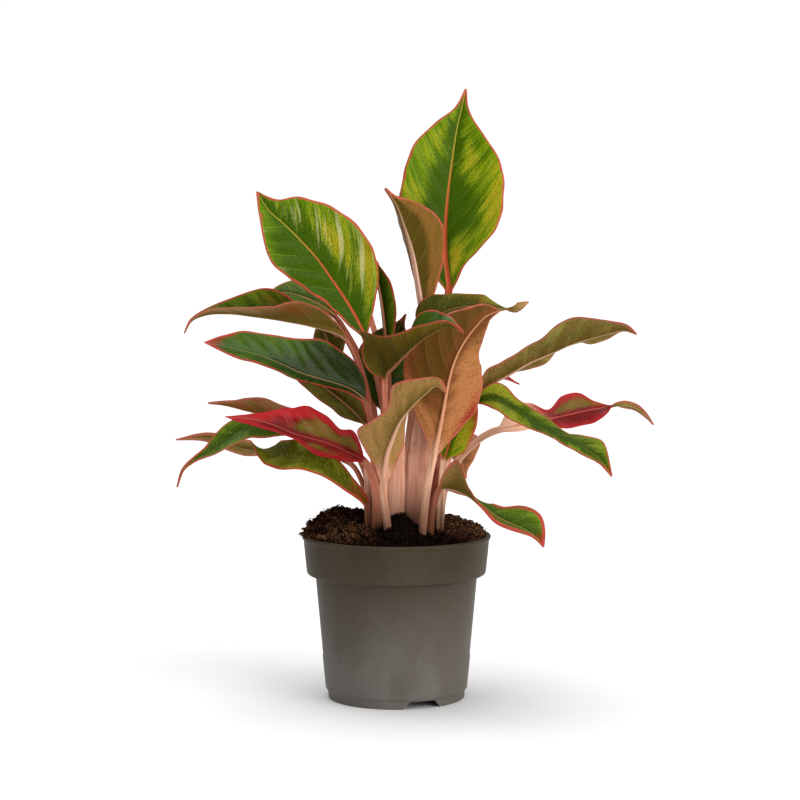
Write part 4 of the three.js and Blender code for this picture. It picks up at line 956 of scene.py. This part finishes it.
def spilled(count):
    """The same for the crumbs of SPILL."""
    centre_x, centre_y, spread = SPILL["x"], SPILL["y"], SPILL["spread"]
    x, y = rng.normal(centre_x, spread, count), rng.normal(centre_y, 2 * spread, count)
    pile = SPILL["rise"] * bell(x, y, centre_x, centre_y, 2 * spread**2)
    ground = SPILL["ground"] + pile * rng.uniform(0, 1, count)
    return x, y, ground, np.full(count, SPILL["brown"])


def ball():
    """Points and faces of a small round lump."""
    bpy.ops.mesh.primitive_ico_sphere_add(subdivisions=1, radius=1)
    source = bpy.context.object
    points = np.array([vertex.co[:] for vertex in source.data.vertices])
    faces = np.array([face.vertices[:] for face in source.data.polygons])
    bpy.data.objects.remove(source)
    return points, faces


def build_crumbs():
    """Lumps of peat lying on the soil, each its own shape, in one mesh."""
    shape, shape_faces = ball()
    x, y, ground, brown = np.column_stack([scattered(CRUMBS), spilled(SPILL["count"])])
    points, faces, shades = [], [], []
    for k in range(len(x)):
        size = min(CRUMB["least"] + rng.exponential(CRUMB["more"]), CRUMB["most"])
        stretched = shape * rng.uniform(*CRUMB["stretch"], 3)
        lump = stretched * rng.uniform(*CRUMB["dent"], (len(shape), 1)) * size
        lift = ground[k] + 0.35 * size + rng.uniform(0, 1.2)
        points.append(turned(lump, rng.uniform(0, 360)) + [x[k], y[k], lift])
        faces.append(shape_faces + k * len(shape))
        shades.append(np.full(len(shape), brown[k] * rng.uniform(0.2, 1.3)))
    add_soil("soil_crumbs", np.vstack(points), np.vstack(faces), np.concatenate(shades))


def build_fibres():
    """Thin bent coconut and peat fibres, each a three-sided thread, in one mesh."""
    x, y, ground, brown = scattered(FIBRES)
    points, faces, shades = [], [], []
    steps, sides = FIBRE["steps"], FIBRE["sides"]
    at = np.linspace(0, 1, steps)
    for k in range(FIBRES):
        length = rng.uniform(*FIBRE["length"])
        heading = rng.uniform(0, 6.28)
        lean, bend = rng.uniform(*FIBRE["lean"]), rng.uniform(*FIBRE["bend"])
        course = heading + bend * at
        spine = np.column_stack([np.cos(course), np.sin(course), lean * (1 - 1.4 * at)]) * length / steps
        spine = np.cumsum(spine, axis=0) + [x[k], y[k], ground[k] + 0.5]
        for spot, radius in zip(spine, FIBRE["radius"] * (1 - 0.7 * at)):
            for turn in FULL_TURN * np.arange(sides) / sides:
                points.append(spot + radius * np.array([-math.sin(heading) * math.cos(turn),
                                                        math.cos(heading) * math.cos(turn), math.sin(turn)]))
        faces += ring_faces(steps, sides, k * steps * sides)
        shades.append(np.full(steps * sides, 0.2 + brown[k]))
    add_soil("soil_fibres", points, faces, np.concatenate(shades))


build_soil()
build_crumbs()
build_fibres()

# ------------------------------------------------------------ floor, light, camera

EYE = (2.3, -EYE_DISTANCE, EYE_HEIGHT)
EYE_TILT = 85.58  # degrees from straight down
EYE_LENS = 101.97  # on a 36 mm sensor
FLOOR_HALF = 30  # metres
SKY = [(0.0, 1.02), (0.1, 1.02), (0.15, 0.15), (0.6, 0.2), (0.8, 1.5)]  # (height, brightness)
LAMPS = {  # strength, then spread, tilt from straight down and bearing in degrees
    "top": (1.2, 40, -16, 40),
    "key": (2.4, 50, 74, 48),
}


def build_floor():
    corners = [(x * FLOOR_HALF, y * FLOOR_HALF, 0) for x, y in ((-1, -1), (1, -1), (1, 1), (-1, 1))]
    mesh = bpy.data.meshes.new("floor")
    mesh.from_pydata(corners, [], [(0, 1, 2, 3)])
    mesh.materials.append(Paint("floor_paper").finish("e6e6e6", 0.9, 0.0))
    link("floor", mesh)


def build_lights():
    world = bpy.data.worlds.new("studio")
    world.use_nodes = True
    tree = world.node_tree
    where = tree.nodes.new("ShaderNodeTexCoord").outputs["Generated"]
    split = tree.nodes.new("ShaderNodeSeparateXYZ")
    tree.links.new(where, split.inputs[0])
    ramp = tree.nodes.new("ShaderNodeValToRGB")
    tree.links.new(split.outputs["Z"], ramp.inputs["Fac"])
    stops = ramp.color_ramp.elements
    stops[0].position, stops[1].position = SKY[0][0], SKY[1][0]
    for height, _ in SKY[2:]:
        stops.new(height)
    for stop, (_, grey) in zip(stops, SKY):
        stop.color = (grey, grey, grey, 1)
    tree.links.new(ramp.outputs["Color"], tree.nodes["Background"].inputs["Color"])
    bpy.context.scene.world = world

    for name, (strength, spread, tilt, bearing) in LAMPS.items():
        lamp = bpy.data.lights.new(name, "SUN")
        lamp.energy = strength
        lamp.angle = math.radians(spread)
        link(name, lamp).rotation_euler = (math.radians(tilt), 0, math.radians(bearing))


def build_camera():
    camera = link("camera", bpy.data.cameras.new("camera"))
    camera.location = [value * MM for value in EYE]
    camera.rotation_euler = (math.radians(EYE_TILT), 0, 0)
    camera.data.lens = EYE_LENS
    camera.data.clip_end = 200  # metres
    bpy.context.scene.camera = camera


build_floor()
build_lights()
build_camera()
bpy.context.scene.view_settings.view_transform = "Standard"
